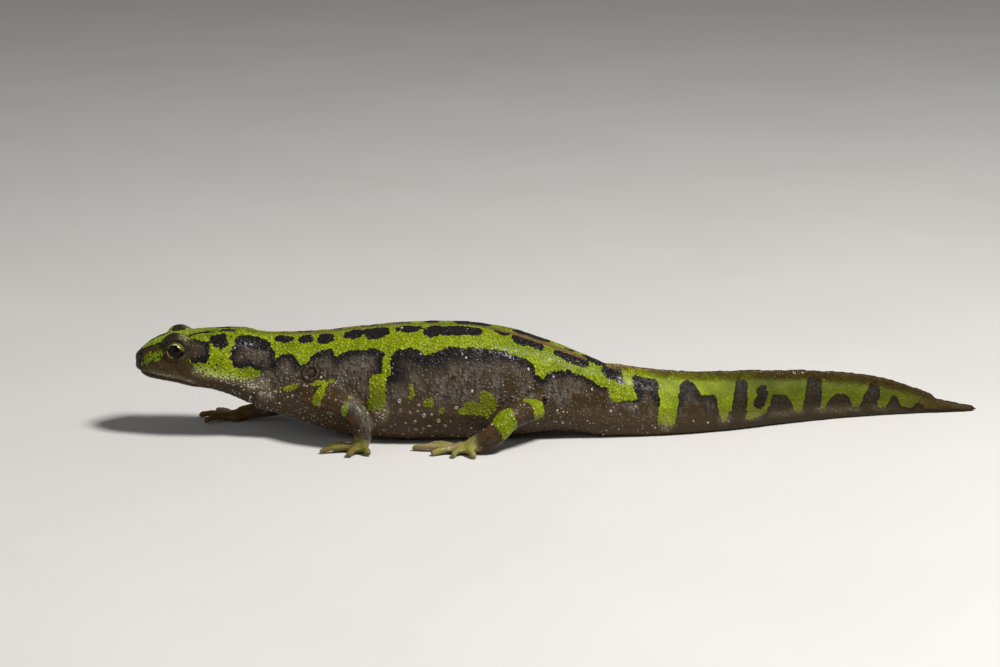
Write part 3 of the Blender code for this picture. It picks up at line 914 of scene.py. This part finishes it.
# %% Pale patches
PALE_PATCHES = (
    (0.9, ((21.2, 11.0, 1.0, 1.9, 60), (22.6, 12.4, 1.3, 0.7)), -1.0, 0.8),
    (0.8, ((41.8, 17.6, 1.3, 1.4),), -1.2, 0.8),
    (0.8, ((12.5, 9.8, 1.8, 0.6, 12), (16.0, 10.4, 2.2, 0.55, 8), (19.6, 10.8, 1.6, 0.5)), -0.9, 0.4),
    (0.5, ((83.4, 1.9, 1.3, 0.6), (8.7, 3.1, 0.8, 0.9)), -0.5, 0.4),
    (0.7, ((90.0, 9.0, 1.0, 1.2), (100.0, 8.2, 0.9, 0.9), (105.3, 7.9, 1.6, 0.6)), -0.7, 0.4),
    (0.6, ((113.8, 6.9, 1.4, 0.5), (118.8, 6.2, 1.2, 0.5), (125.0, 5.4, 1.4, 0.4)), -0.6, 0.4),
    (0.5, ((110.5, 7.6, 2.0, 0.5), (122.0, 6.2, 1.8, 0.5), (130.2, 4.4, 1.4, 0.4)), -0.6, 0.4),
)


def paled(shapes, start, end):
    """0 to 1 inside some ovals of the left and right flank, eased between two depths."""
    depth = np.maximum(ovals(where_left, shapes), ovals((back, down), shapes) - (side > 0) * 0.3)
    return ramp(depth, start, end)


lip = ridge(mouth_gap(co) - 0.75, 0.5) * ramp(back, 1.5, 3.5) * in_mouth(back)
pale = np.max([0.65 * lip] + [weight * paled(*patch) for weight, *patch in PALE_PATCHES], axis=0)
pale *= 1 - on_limb
print("pale points:", int((pale > 0.5).sum()))

# %% Painted shade in the creases, and one dark spot low on the left flank
FLANK_SPOT = (69.8, 11.7, 0.42)
from_spot = np.hypot(back - FLANK_SPOT[0], down - FLANK_SPOT[1])
# Painted shade: the eyelid rings, the line where the lips meet, the nostrils, the shoulder rings and the
# throat fold are darkened as shade; the dark flank spot is a real mark.
crease_shade_and_spot = np.max([
    lid_shade,
    0.9 * ridge(mouth_gap(co), 0.16) * ramp(back, 0.3, 1.2) * in_mouth(back),
    ridge(nostril_gap(co), 0.26),
    0.9 * ridge(shoulder_gap(co) - 0.75, 0.2),
    0.9 * ridge(shoulder_gap(co) - 1.55, 0.2),
    1.2 * ramp(FLANK_SPOT[2] - from_spot, -0.06, 0.06) * is_left,
    0.5 * ridge(back - 20.6 - 0.02 * (down - 13) ** 2, 0.3) * ramp(down, 12, 13.5) * on_body,
], axis=0)
print("creased points:", int((crease_shade_and_spot > 0.5).sum()))

# %% How thickly each kind of wart lies
warty = 0.6 * span(under, 0.40, 0.56, 0.85, 0.98) * span(back, 12, 20, 60, 104)
warty += 0.5 * ramp(under, 0.36, 0.5) * span(back, 12, 15, 30, 40)
warty = np.maximum(warty, 0.10 * span(back, 12, 20, 84, 100))
warty *= (1 - foot) * (1 - 0.6 * on_limb) * ramp(rumple(co, 3.0, 31), -0.5, 0.3) * ramp(green, 0.3, -0.2)
warty = np.maximum(warty, 0.6 * far_arm * span(limb_along, 5.0, 7.0, 12.0, 13.5))
warty *= ramp(co[:, 2], 0.25, 0.6)
flecked = span(under, 0.36, 0.46, 0.8, 0.92) * span(back, 19.5, 22, 33, 40) * (1 - foot)
flecked *= (0.35 + 0.65 * ramp(rumple(co, 2.2, 41), -0.4, 0.4)) * (1 - 0.5 * on_limb)
flecked *= ramp(green, 0.2, -0.2)
flecked += 0.25 * span(under, 0.5, 0.6, 0.8, 0.9) * span(back, 66, 72, 84, 100) * on_body
not_green = ramp(green, 0.1, -0.4)
ringed = span(under, 0.52, 0.58, 0.76, 0.84) * span(back, 38, 43, 60, 68) * on_body * not_green
throaty = span(under, 0.40, 0.45, 0.62, 0.75) * span(back, 12.5, 15, 22, 24) * not_green
# Where the crest grains go: real grains, made white as a painted highlight along the top of the crest.
crest_glint_share = ramp(down, 0.32, 0.12) * span(back, 79.5, 81, 110, 122)
print("warty points:", int((warty > 0.5).sum()))


# %% Store the fields on the skin
def store_fields(mesh, fields):
    """Shades a mesh smoothly and stores named values on its points, for the materials to read."""
    mesh.polygons.foreach_set("use_smooth", [True] * len(mesh.polygons))
    for name, values in fields.items():
        mesh.attributes.new(name, "FLOAT", "POINT").data.foreach_set("value", values.astype(np.float32))


store_fields(skin_mesh, {
    "green": green, "edge": edge, "ink": ink, "stripe": stripe, "under": under, "back": back, "warm": warm,
    "pale": pale, "foot": foot, "limb": on_limb, "rusty": rusty, "painted_forearm_sheen": painted_forearm_sheen, "crease_shade_and_spot": crease_shade_and_spot,
    "warty": warty, "flecked": flecked, "ringed": ringed, "throaty": throaty, "crest_glint_share": crest_glint_share,
    "lid": ramp(lid_depth, -0.2, 0.6),
})
skin_mesh.transform(((MM, 0, 0, 0), (0, MM, 0, 0), (0, 0, MM, 0), (0, 0, 0, 1)))
skin = in_scene("skin", skin_mesh)
print("skin fields:", len(skin_mesh.attributes))

# %% [markdown]
# ## Writing shader maths as Python
# Nodes could be placed and linked one by one, but a material of this size would fill pages. A wrapped
# socket lets `1 - mask` add its own Math node. Everything else goes through one method that takes a
# node's type, its settings and its inputs.

# %% The wrapped socket
def feed(tree, sockets, inputs):
    """Gives input sockets their values or links."""
    for key, value in inputs.items():
        value = value.socket if isinstance(value, Wire) else value
        if isinstance(value, bpy.types.NodeSocket):
            tree.links.new(value, sockets[key])
        else:
            sockets[key].default_value = value


def add_node(tree, kind, settings=None, inputs=None):
    """A new node of a tree: its settings first, then its inputs."""
    made = tree.nodes.new(kind)
    for key, value in (settings or {}).items():
        setattr(made, key, value)
    feed(tree, made.inputs, inputs or {})
    return made


class Wire:
    """An output socket that the usual operators work on; each operator adds a Math node."""

    def __init__(self, paint, socket):
        self.paint, self.socket = paint, socket

    def maths(self, operation, *values):
        """A Math node by its operation's name."""
        return self.paint.node("ShaderNodeMath", {"operation": operation}, dict(enumerate(values)))

    def __add__(self, other):
        return self.maths("ADD", self, other)

    def __sub__(self, other):
        return self.maths("SUBTRACT", self, other)

    def __rsub__(self, other):
        return self.maths("SUBTRACT", other, self)

    def __mul__(self, other):
        return self.maths("MULTIPLY", self, other)

    def __pow__(self, other):
        return self.maths("POWER", self, other)

    __radd__, __rmul__ = __add__, __mul__


def tint(colour):
    """A colour from its everyday 0 to 255 values, as the linear light that shaders need."""
    shares = (value / 255 for value in colour)
    return tuple(v / 12.92 if v <= 0.04 else ((v + 0.055) / 1.055) ** 2.4 for v in shares) + (1.0,)


class Paint:
    """A material whose nodes are added one after another."""

    def __init__(self, name):
        self.material = bpy.data.materials.new(name)
        self.material.use_nodes = True
        self.tree = self.material.node_tree

    def node(self, kind, settings=None, inputs=None, output=0):
        """Adds any node, and gives one of its outputs."""
        return Wire(self, add_node(self.tree, kind, settings, inputs).outputs[output])

    def field(self, name):
        """A float attribute of the piece."""
        return self.node("ShaderNodeAttribute", {"attribute_name": name}, output="Fac")

    def ease(self, value, start, end):
        """0 before start and 1 after end, eased between."""
        inputs = {"Value": value, "From Min": start, "From Max": end}
        return self.node("ShaderNodeMapRange", {"interpolation_type": "SMOOTHSTEP"}, inputs)

    def mix(self, share, first, second):
        """A colour between two others, each a socket or its everyday 0 to 255 values."""
        first, second = (c if isinstance(c, Wire) else tint(c) for c in (first, second))
        settings = {"data_type": "RGBA", "clamp_factor": True}
        return self.node("ShaderNodeMix", settings, {0: share, 6: first, 7: second}, output=2)

    def coats(self, colour, *layers):
        """A colour under layers of others, each given as (share, colour)."""
        for share, over in layers:
            colour = self.mix(share, colour, over)
        return colour

    def noise(self, place, scale, detail=2.0, roughness=0.5):
        """Soft lumps, `scale` of them to the mm."""
        inputs = {"Vector": place, "Scale": scale, "Detail": detail, "Roughness": roughness}
        return self.node("ShaderNodeTexNoise", {}, inputs)

    def cells(self, place, scale, output="Distance", randomness=1.0):
        """Grains, `scale` of them to the mm: the distance from the nearest one's middle, or its colour."""
        inputs = {"Vector": place, "Scale": scale, "Randomness": randomness}
        return self.node("ShaderNodeTexVoronoi", {}, inputs, output)

    def millimetres(self, stretch=(1.0, 1.0, 1.0)):
        """Object coordinates in mm, each way stretched as asked."""
        place = self.node("ShaderNodeTexCoord", output="Object")
        return self.node("ShaderNodeMapping", {}, {"Vector": place, "Scale": [v / MM for v in stretch]})

    def finish(self, inputs):
        """The material, with values or links in its shader's sockets."""
        feed(self.tree, self.tree.nodes["Principled BSDF"].inputs, inputs)
        print(self.material.name, "has", len(self.tree.nodes), "nodes")
        return self.material


# %% [markdown]
# ## Skin finish
# Wet newt skin is granular, and each granule carries its own small highlight. Part of it is a painted
# highlight: granule tops are painted paler, and the hollows between the fine beads are painted darker as
# painted shade. The colour is built in coats, one over another: brown-grey flank, darker underside and
# near-black marbling; then green with tiny black specks; then the orange line, the toes and the painted
# shade of the creases. A bump made of fine cells and a low roughness give the broken wet gloss, which
# dulls a little along the tail.

# %% Skin patterns
wet = Paint("wet_skin")
SPECK_SCALE = 1.7
place = wet.millimetres()
edge_noise = wet.noise(place, 0.9, 3.0, 0.6) - 0.5
broad = wet.noise(place, 0.28, 2.0)
lobes = wet.noise(place, 0.42, 1.0) - 0.5
fine = wet.noise(place, 3.2, 2.0)
granules = wet.ease(wet.cells(place, 1.5, randomness=0.9), 0.52, 0.08)
beads = wet.ease(wet.cells(place, 3.1), 0.55, 0.05)
streaks = wet.noise(wet.millimetres((2.2, 2.2, 0.7)), 0.9, 3.0, 0.65)
flecks = wet.cells(place, 2.4)
specks = wet.cells(place, SPECK_SCALE)
speck_colour = wet.cells(place, SPECK_SCALE, "Color")
speck_lot = wet.node("ShaderNodeSeparateColor", {}, {"Color": speck_colour}, "Red")
print("pattern nodes:", len(wet.tree.nodes))


# %% Places on the skin
def at_back(start, end):
    """0 to 1 between two distances from the snout."""
    return wet.ease(back_mm, start, end)


def at_under(start, end):
    """0 to 1 between two shares of the way round to the belly."""
    return wet.ease(under_share, start, end)


under_share, back_mm, pale = wet.field("under"), wet.field("back"), wet.field("pale")
limb, foot, warm, rusty = (wet.field(name) for name in ("limb", "foot", "warm", "rusty"))
tail_share = at_back(80.0, 96.0)
rear_tail = at_back(88.0, 110.0)
fore_foot = at_back(50.0, 46.0)
tip_share = wet.ease(back_mm + (broad - 0.5) * 8.0 + edge_noise * 6.0, 132.5, 142.5)
snout_tip = wet.ease(back_mm + edge_noise, 2.4, 1.0)
wobble = lobes * 1.2 + edge_noise * 1.1 + (fine - 0.5) * 0.3 + (granules - 0.4) * 0.22
wobble = wobble * (1 - tail_share * 0.35)
green_mm, edge_mm = wet.field("green") + wobble, wet.field("edge") + wobble
is_green = wet.ease(green_mm, -0.05, 0.07)
fleck_share = wet.ease(flecks - pale * 0.42, 0.06, -0.04) * wet.ease(pale, 0.05, 0.3)
fleck_share = fleck_share * (1 - tail_share * 0.6)

# %% Colour of the dark skin
lit = wet.ease(fine, 0.3, 0.7)
patchy = wet.ease(fine * 0.4 + broad * 0.6, 0.35, 0.62)
shin_patchy = wet.ease(fine * 0.4 + broad * 0.6, 0.35, 0.65)
brown_patchy = wet.ease(fine * 0.5 + broad * 0.5, 0.35, 0.65)
rear = at_back(56.0, 72.0) * 0.5 + at_under(0.3, 0.45) * 0.35
belly_share = wet.ease(under_share + (broad - 0.5) * 0.12, 0.50, 0.66)
tail_dark = wet.mix(patchy, (12, 10, 3), (34, 27, 11))
tail_dark = wet.mix(at_under(0.45, 0.75) * 0.5, tail_dark, (74, 66, 46))
# Painted highlight: the tops of the granules are painted lighter on the dark skin.
granule_painted_highlight = granules * 0.22 * (1 - warm * 0.6) * (1 - tail_share * 0.7) * (1 - limb * 0.6)
flank = wet.coats(
    wet.mix(wet.ease(streaks, 0.30, 0.70), (42, 36, 30), (100, 91, 79)),
    (wet.ease(broad, 0.35, 0.65) * (0.35 + rear), (58, 43, 22)),
    (belly_share, wet.mix(fine, (46, 34, 22), (90, 72, 50))),
    (at_back(25.0, 16.0) * 0.55, (38, 31, 23)),
    (at_back(86.0, 106.0) * 0.9, tail_dark),
    (warm * 0.92, wet.mix(brown_patchy, (38, 29, 12), (72, 56, 28))),
    (limb * 0.85, wet.mix(shin_patchy, (28, 20, 11), (76, 58, 34))),
    (rusty * wet.ease(broad + fine * 0.3, 0.42, 0.70) * 0.8, (88, 56, 16)),
    # Painted sheen on the forearms.
    (wet.field("painted_forearm_sheen") * wet.ease(streaks, 0.30, 0.60) * 0.4, (104, 102, 94)),
    (granule_painted_highlight, (124, 112, 98)),
)
black = wet.mix(tail_share * 0.8, wet.mix(lit, (9, 8, 9), (30, 26, 27)), (26, 21, 8))
ink_mm = wet.field("ink") * (0.35 + streaks * 1.3)
inked = wet.ease(edge_mm + ink_mm, ink_mm * -0.8 - 0.05, ink_mm * 0.55 + 0.1)
dark = wet.coats(
    flank,
    (inked * 0.95 * (1 - limb), black),
    (snout_tip * 0.7, (20, 18, 8)),
    (wet.field("lid") * 0.7, wet.mix(fine, (14, 13, 8), (44, 38, 24))),
    (pale * (0.45 - tail_share * 0.2), (150, 138, 108)),
    (fleck_share * 0.85, (204, 198, 176)),
)
print("nodes up to the dark skin:", len(wet.tree.nodes))

# %% Colour of the green skin
leafy = wet.ease(broad, 0.3, 0.7)
# Painted highlight: the tops of the granules are painted paler on the green skin.
green_granule_painted_highlight = granules * (0.55 - tail_share * 0.30 - at_back(15.0, 11.0) * 0.25)
low_green = at_under(0.42, 0.5) * at_back(25.0, 29.0)
on_head = at_back(26.0, 17.0)
speck_size = 0.08 + speck_lot * 0.12 + on_head * 0.12 + at_back(7.0, 5.0) * 0.04
is_speck = wet.ease(specks - speck_size, 0.045, -0.045)
leaf = wet.coats(
    wet.mix(leafy, (112, 126, 5), (146, 160, 14)),
    # The rear of the tail is a darker green: partly its own olive tone, partly painted shade where the light
    # falls off along the tail.
    (rear_tail, wet.mix(leafy, (62, 68, 1), (82, 88, 1))),
    (green_granule_painted_highlight, wet.mix(rear_tail, (192, 202, 84), (114, 122, 6))),
    (at_back(9.5, 5.5) * 0.6, (124, 146, 5)),
    # Painted light: the top of the snout, which faces away from the key light, is painted a brighter green.
    (at_back(11.0, 8.0) * at_under(0.26, 0.14) * 0.8, (172, 194, 24)),
    (at_back(8.0, 6.0) * at_under(0.28, 0.40) * 0.25, (74, 90, 2)),
    # Painted shade: the hollows between the fine beads are painted darker.
    ((1 - wet.ease(beads, 0.0, 0.4)) * (0.55 - tail_share * 0.3), (52, 64, 2)),
    (pale * 0.3, (204, 208, 132)),
    (fleck_share * 0.7, (214, 216, 168)),
    (low_green * 0.5 * (1 - limb), (98, 96, 28)),
    (foot * 0.75, wet.mix(fore_foot, (122, 122, 48), (86, 88, 24))),
    # Painted sheen on the forearms, greying their green.
    (wet.field("painted_forearm_sheen") * 0.8, (96, 108, 78)),
    (tip_share, (74, 58, 22)),
    (is_speck * (0.35 + on_head * 0.6 - tail_share * 0.15), (20, 22, 7)),
)
print("nodes up to the green skin:", len(wet.tree.nodes))

# %% Line, feet and painted crease shade over both
line_mm = wet.field("stripe") + edge_noise * 0.35
softness = 0.07 + tail_share * 0.2
rust = wet.coats(
    wet.mix(lit, (80, 66, 26), (116, 98, 52)),
    (at_back(27.0, 22.0), wet.mix(fine, (96, 58, 24), (150, 100, 54))),
    (at_back(56.0, 64.0), wet.mix(fine, (76, 56, 26), (118, 90, 52))),
    (tail_share, wet.mix(lit, (34, 22, 6), (62, 42, 15))),
)
toes = wet.coats(
    wet.mix(wet.ease(broad + fine * 0.3, 0.55, 0.75), (150, 130, 90), (128, 124, 72)),
    (fore_foot * 0.75, (96, 84, 36)),
    (rusty * 0.7, (104, 68, 30)),
)
hide = wet.coats(
    wet.mix(is_green, dark, leaf),
    (wet.ease(line_mm, 0.0 - softness, softness) * 0.95, rust),
    (tip_share * 0.7, wet.mix(lit, (24, 17, 5), (54, 39, 14))),
    (foot * 0.85 * (1 - is_green * 0.6), toes),
    # Painted shade in the creases, with the real dark flank spot.
    (wet.field("crease_shade_and_spot") * 0.85, (12, 10, 7)),
)

# %% Skin relief and gloss
calm = (1 - foot * 0.6) * (1 - tail_share * 0.6) * (1 - warm * 0.35) * (1 - limb * 0.3)
relief = (granules * 0.16 + beads * 0.045 + streaks * 0.07) * calm + fine * 0.008
relief = relief + wet.ease(green_mm, -0.25, 0.25) * 0.03
skin_mesh.materials.append(wet.finish({
    "Base Color": hide, "Roughness": 0.13 + fine * 0.15 + tail_share * 0.36, "IOR": 1.35,
    "Specular IOR Level": 0.2,
    "Normal": wet.node("ShaderNodeBump", {}, {"Strength": 1.0, "Distance": MM, "Height": relief}),
}))

# %% [markdown]
# ## Warts
# Small white warts stud the throat, chest and flanks. They repeat over a surface, so Geometry Nodes
# scatter them: where a named field of the skin is high, a small flat dome or ring is set on it along its
# normal. One function builds the tree for all of them: the round warts of flank and throat, the fine
# flecks of the chest, the rings low on the flank, and the grains along the crest of the tail, whose white
# is a painted highlight on them.

# %% The wart finish
chalk = Paint("wart_white")
chalky = chalk.ease(chalk.noise(chalk.millimetres(), 1.5), 0.35, 0.65)
chalk_colour = chalk.mix(chalky, (104, 94, 76), (182, 174, 156))
wart_finish = chalk.finish({"Base Color": chalk_colour, "Roughness": 0.35})


# %% Scatter the warts
WART_INPUTS = {
    "Skin": "Geometry", "Where": "String", "Density": "Float", "Spacing": "Float",
    "Smallest": "Float", "Largest": "Float", "Seed": "Int", "Finish": "Material",
}
STRETCH_SEED = 9
MOSTLY_SMALL = 2.5
FLATNESS = 0.4


def wart_tree(name, rings=False):
    """Domes or rings scattered where a field is high, with sizes in metres and a fixed seed."""
    tree = bpy.data.node_groups.new(name, "GeometryNodeTree")
    for label, kind in WART_INPUTS.items():
        tree.interface.new_socket(label, in_out="INPUT", socket_type="NodeSocket" + kind)
    tree.interface.new_socket("Warts", in_out="OUTPUT", socket_type="NodeSocketGeometry")

    def add(kind, inputs, output=0, **settings):
        return add_node(tree, kind, settings, inputs).outputs[output]

    def circle(points, radius):
        return add("GeometryNodeCurvePrimitiveCircle", {"Resolution": points, "Radius": radius})

    given = add_node(tree, "NodeGroupInput").outputs
    where = add("GeometryNodeInputNamedAttribute", {"Name": given["Where"]}, "Attribute", data_type="FLOAT")
    spread = add_node(tree, "GeometryNodeDistributePointsOnFaces", {"distribute_method": "POISSON"}, {
        "Mesh": given["Skin"], "Distance Min": given["Spacing"], "Density Max": given["Density"],
        "Density Factor": where, "Seed": given["Seed"],
    }).outputs
    if rings:
        curves = {"Curve": circle(9, 0.8), "Profile Curve": circle(4, 0.4)}
        wart = add("GeometryNodeCurveToMesh", curves, "Mesh")
    else:
        wart = add("GeometryNodeMeshUVSphere", {"Segments": 8, "Rings": 5, "Radius": 1.0}, "Mesh")
    smooth = add("GeometryNodeSetShadeSmooth", {"Geometry": wart})
    lot = add("FunctionNodeRandomValue", {2: 0.0, 3: 1.0, "Seed": given["Seed"]}, 1, data_type="FLOAT")
    small = add("ShaderNodeMath", {0: lot, 1: MOSTLY_SMALL}, operation="POWER")
    size = add("ShaderNodeMapRange", {"Value": small, 3: given["Smallest"], 4: given["Largest"]})
    stretch = add("FunctionNodeRandomValue", {2: 0.7, 3: 1.4, "Seed": STRETCH_SEED}, 1, data_type="FLOAT")
    long = add("ShaderNodeMath", {0: size, 1: stretch}, operation="MULTIPLY")
    flat = add("ShaderNodeMath", {0: size, 1: FLATNESS}, operation="MULTIPLY")
    shape = add("ShaderNodeCombineXYZ", {"X": size, "Y": long, "Z": flat})
    studs = add("GeometryNodeInstanceOnPoints", {
        "Points": spread["Points"], "Instance": smooth, "Rotation": spread["Rotation"], "Scale": shape,
    })
    real = add("GeometryNodeRealizeInstances", {"Geometry": studs})
    painted = add("GeometryNodeSetMaterial", {"Geometry": real, "Material": given["Finish"]})
    add_node(tree, "NodeGroupOutput", {}, {"Warts": painted})
    return tree


def scattered(name, tree, where, density, spacing, smallest, largest, seed):
    """The skin's scatter as a plain mesh object; density is in warts per square mm, the rest in mm."""
    holder = in_scene("scatter_holder", skin.data)
    scatter = holder.modifiers.new("scatter", "NODES")
    scatter.node_group = tree
    sockets = {s.name: s.identifier for s in tree.interface.items_tree if s.in_out == "INPUT"}
    values = {
        "Where": where, "Density": density / MM**2, "Spacing": spacing * MM, "Smallest": smallest * MM,
        "Largest": largest * MM, "Seed": seed, "Finish": wart_finish,
    }
    for key, value in values.items():
        scatter[sockets[key]] = value
    mesh = final_mesh(holder)
    print(name, "has", len(mesh.polygons), "faces")
    return in_scene(name, mesh)


domes, rings = wart_tree("wart_domes"), wart_tree("wart_rings", rings=True)
warts = (
    scattered("warts", domes, "warty", 0.9, 0.55, 0.07, 0.26, 4),
    scattered("chest_flecks", domes, "flecked", 2.8, 0.30, 0.06, 0.18, 7),
    scattered("ring_warts", rings, "ringed", 0.45, 0.95, 0.18, 0.31, 5),
    scattered("throat_warts", domes, "throaty", 2.6, 0.80, 0.15, 0.27, 6),
    # The crest grains: white domes that paint the highlights on the crest's grains.
    scattered("crest_grains_with_glints", domes, "crest_glint_share", 5.0, 0.30, 0.06, 0.16, 8),
)
for piece in (skin, *warts):
    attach(piece, "root")
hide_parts(*[name for name in nodes if name not in EYES])

# %% [markdown]
# ## Eyes
# The eye is a ball with a slightly raised cornea. Its iris is nearly black, with a muddy olive part above
# the pupil, a narrow bright gold ring over the top of the pupil, and an orange-gold fleck low in front.
# The gaze is stored as two angles on the ball, so that the rings are circles about the way it looks.

# %% Eyeballs
CORNEA = math.radians(48)
CORNEA_RISE = 0.035


def eyeball(name):
    """A ball whose pole looks along the gaze, with the cornea raised a little."""
    gaze, behind, above = eye_frame(name)
    bm = bmesh.new()
    bmesh.ops.create_uvsphere(bm, u_segments=72, v_segments=48, radius=1.0)
    for v in bm.verts:
        x, y, z = v.co
        turned = math.acos(max(-1.0, min(1.0, z)))
        raised = 0.98 + CORNEA_RISE * math.exp(-((turned / CORNEA) ** 4))
        spot = eye_centre[name] + (behind * x + above * y + gaze * z) * eye_radius * raised
        v.co = Vector(spot * MM)
    if bm.calc_volume(signed=True) < 0:
        bmesh.ops.reverse_faces(bm, faces=bm.faces)
    made = new_object(name.replace("eye", "eyeball"), bm)
    level, rise, _ = eye_angles(points_of(made), name)
    store_fields(made.data, {"level": level, "rise": rise})
    return made


# %% Eye finish
glass = Paint("newt_eye")
level, rise = glass.field("level"), glass.field("rise")
threads = glass.noise(glass.millimetres(), 5.0, 3.0, 0.7)
pupil_level, pupil_rise = level + 0.02, rise - 0.10
from_pupil = (pupil_level * pupil_level + pupil_rise * pupil_rise) ** 0.5
turn = pupil_rise.maths("ARCTAN2", pupil_rise, pupil_level)
taper = glass.ease(turn, -0.3, 0.5) * glass.ease(turn, 2.5, 1.7)
ring_in = glass.ease(from_pupil, 0.49, 0.52)
ring_out = glass.ease(from_pupil - taper * 0.11 + (threads - 0.5) * 0.04, 0.50, 0.47)
iris_share = glass.ease(from_pupil, 0.57, 0.64) * glass.ease(rise + level * 0.15, -0.10, 0.25)
from_gaze = (level * level + rise * rise) ** 0.5
low_front = glass.ease(from_gaze, 0.80, 0.90) * glass.ease(from_gaze, 1.10, 1.00)
low_front = low_front * glass.ease(rise + level * 0.25, -0.16, -0.38) * glass.ease(level, -0.10, -0.34)
colour = glass.coats(
    (7, 6, 6),
    (iris_share * 0.85, glass.mix(glass.ease(threads, 0.36, 0.62), (30, 27, 12), (118, 112, 52))),
    (ring_in * ring_out * taper, (206, 196, 112)),
    (low_front * glass.ease(threads, 0.30, 0.52), (206, 158, 66)),
)
eye_finish = glass.finish({
    "Base Color": colour, "Roughness": 0.4, "Coat Weight": 0.6, "Coat Roughness": 0.02, "Coat IOR": 1.36,
    "Specular IOR Level": 0.0,
})
for name in EYES:
    ball = eyeball(name)
    ball.data.materials.append(eye_finish)
    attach(ball, "root")
    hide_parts(name)

# %% [markdown]
# ## Stage
# A pale floor, one soft key light high on the right, a weak fill from the left, and a long lens a little
# above the animal. One small light gives wet skin its bright glints; a big one would only grey it.

# %% Floor
bm = bmesh.new()
bmesh.ops.create_grid(bm, x_segments=1, y_segments=1, size=1.5)
floor = new_object("floor", bm)
matt = Paint("pale_floor")
floor_colour = matt.mix(matt.noise(matt.millimetres(), 0.02, 4.0), (196, 192, 186), (206, 203, 198))
floor.data.materials.append(matt.finish({"Base Color": floor_colour, "Roughness": 0.85}))


# %% Lights
def facing(name, data, place, way):
    """A light or camera at a place in metres, looking a given way."""
    made = in_scene(name, data)
    made.location = place
    made.rotation_euler = way.to_track_quat("-Z", "Y").to_euler()
    return made


TRUNK = Vector((0, 0, 0.008))
LIGHTS = {"key": ((0.24, -0.20, 0.50), 0.12, 4.9), "fill": ((-0.45, -0.40, 0.30), 0.5, 0.6)}
for name, (place, size, power) in LIGHTS.items():
    data = bpy.data.lights.new(name, "AREA")
    data.size, data.energy = size, power
    facing(name, data, place, TRUNK - Vector(place))
world = bpy.data.worlds.new("grey_room")
bpy.context.scene.world = world
world.use_nodes = True
feed(world.node_tree, world.node_tree.nodes["Background"].inputs, {
    "Color": (0.75, 0.78, 0.82, 1), "Strength": 0.16,
})
bpy.context.scene.view_settings.view_transform = "Standard"
print("lights:", *LIGHTS)

# %% Camera
AIM_BEHIND_SNOUT, AIM_HEIGHT = 0.0621, 0.01755
CAMERA_RISE = math.radians(14)
CAMERA_DISTANCE = 0.496
camera_data = bpy.data.cameras.new("camera")
camera_data.lens = 105
camera_data.clip_start = 0.01
aim = Vector((snout_x * MM + AIM_BEHIND_SNOUT, float(middle[0]) * MM, AIM_HEIGHT))
away = Vector((0, -math.cos(CAMERA_RISE), math.sin(CAMERA_RISE)))
bpy.context.scene.camera = facing("camera", camera_data, aim + CAMERA_DISTANCE * away, -away)
print("camera aims at", [round(v, 4) for v in aim])
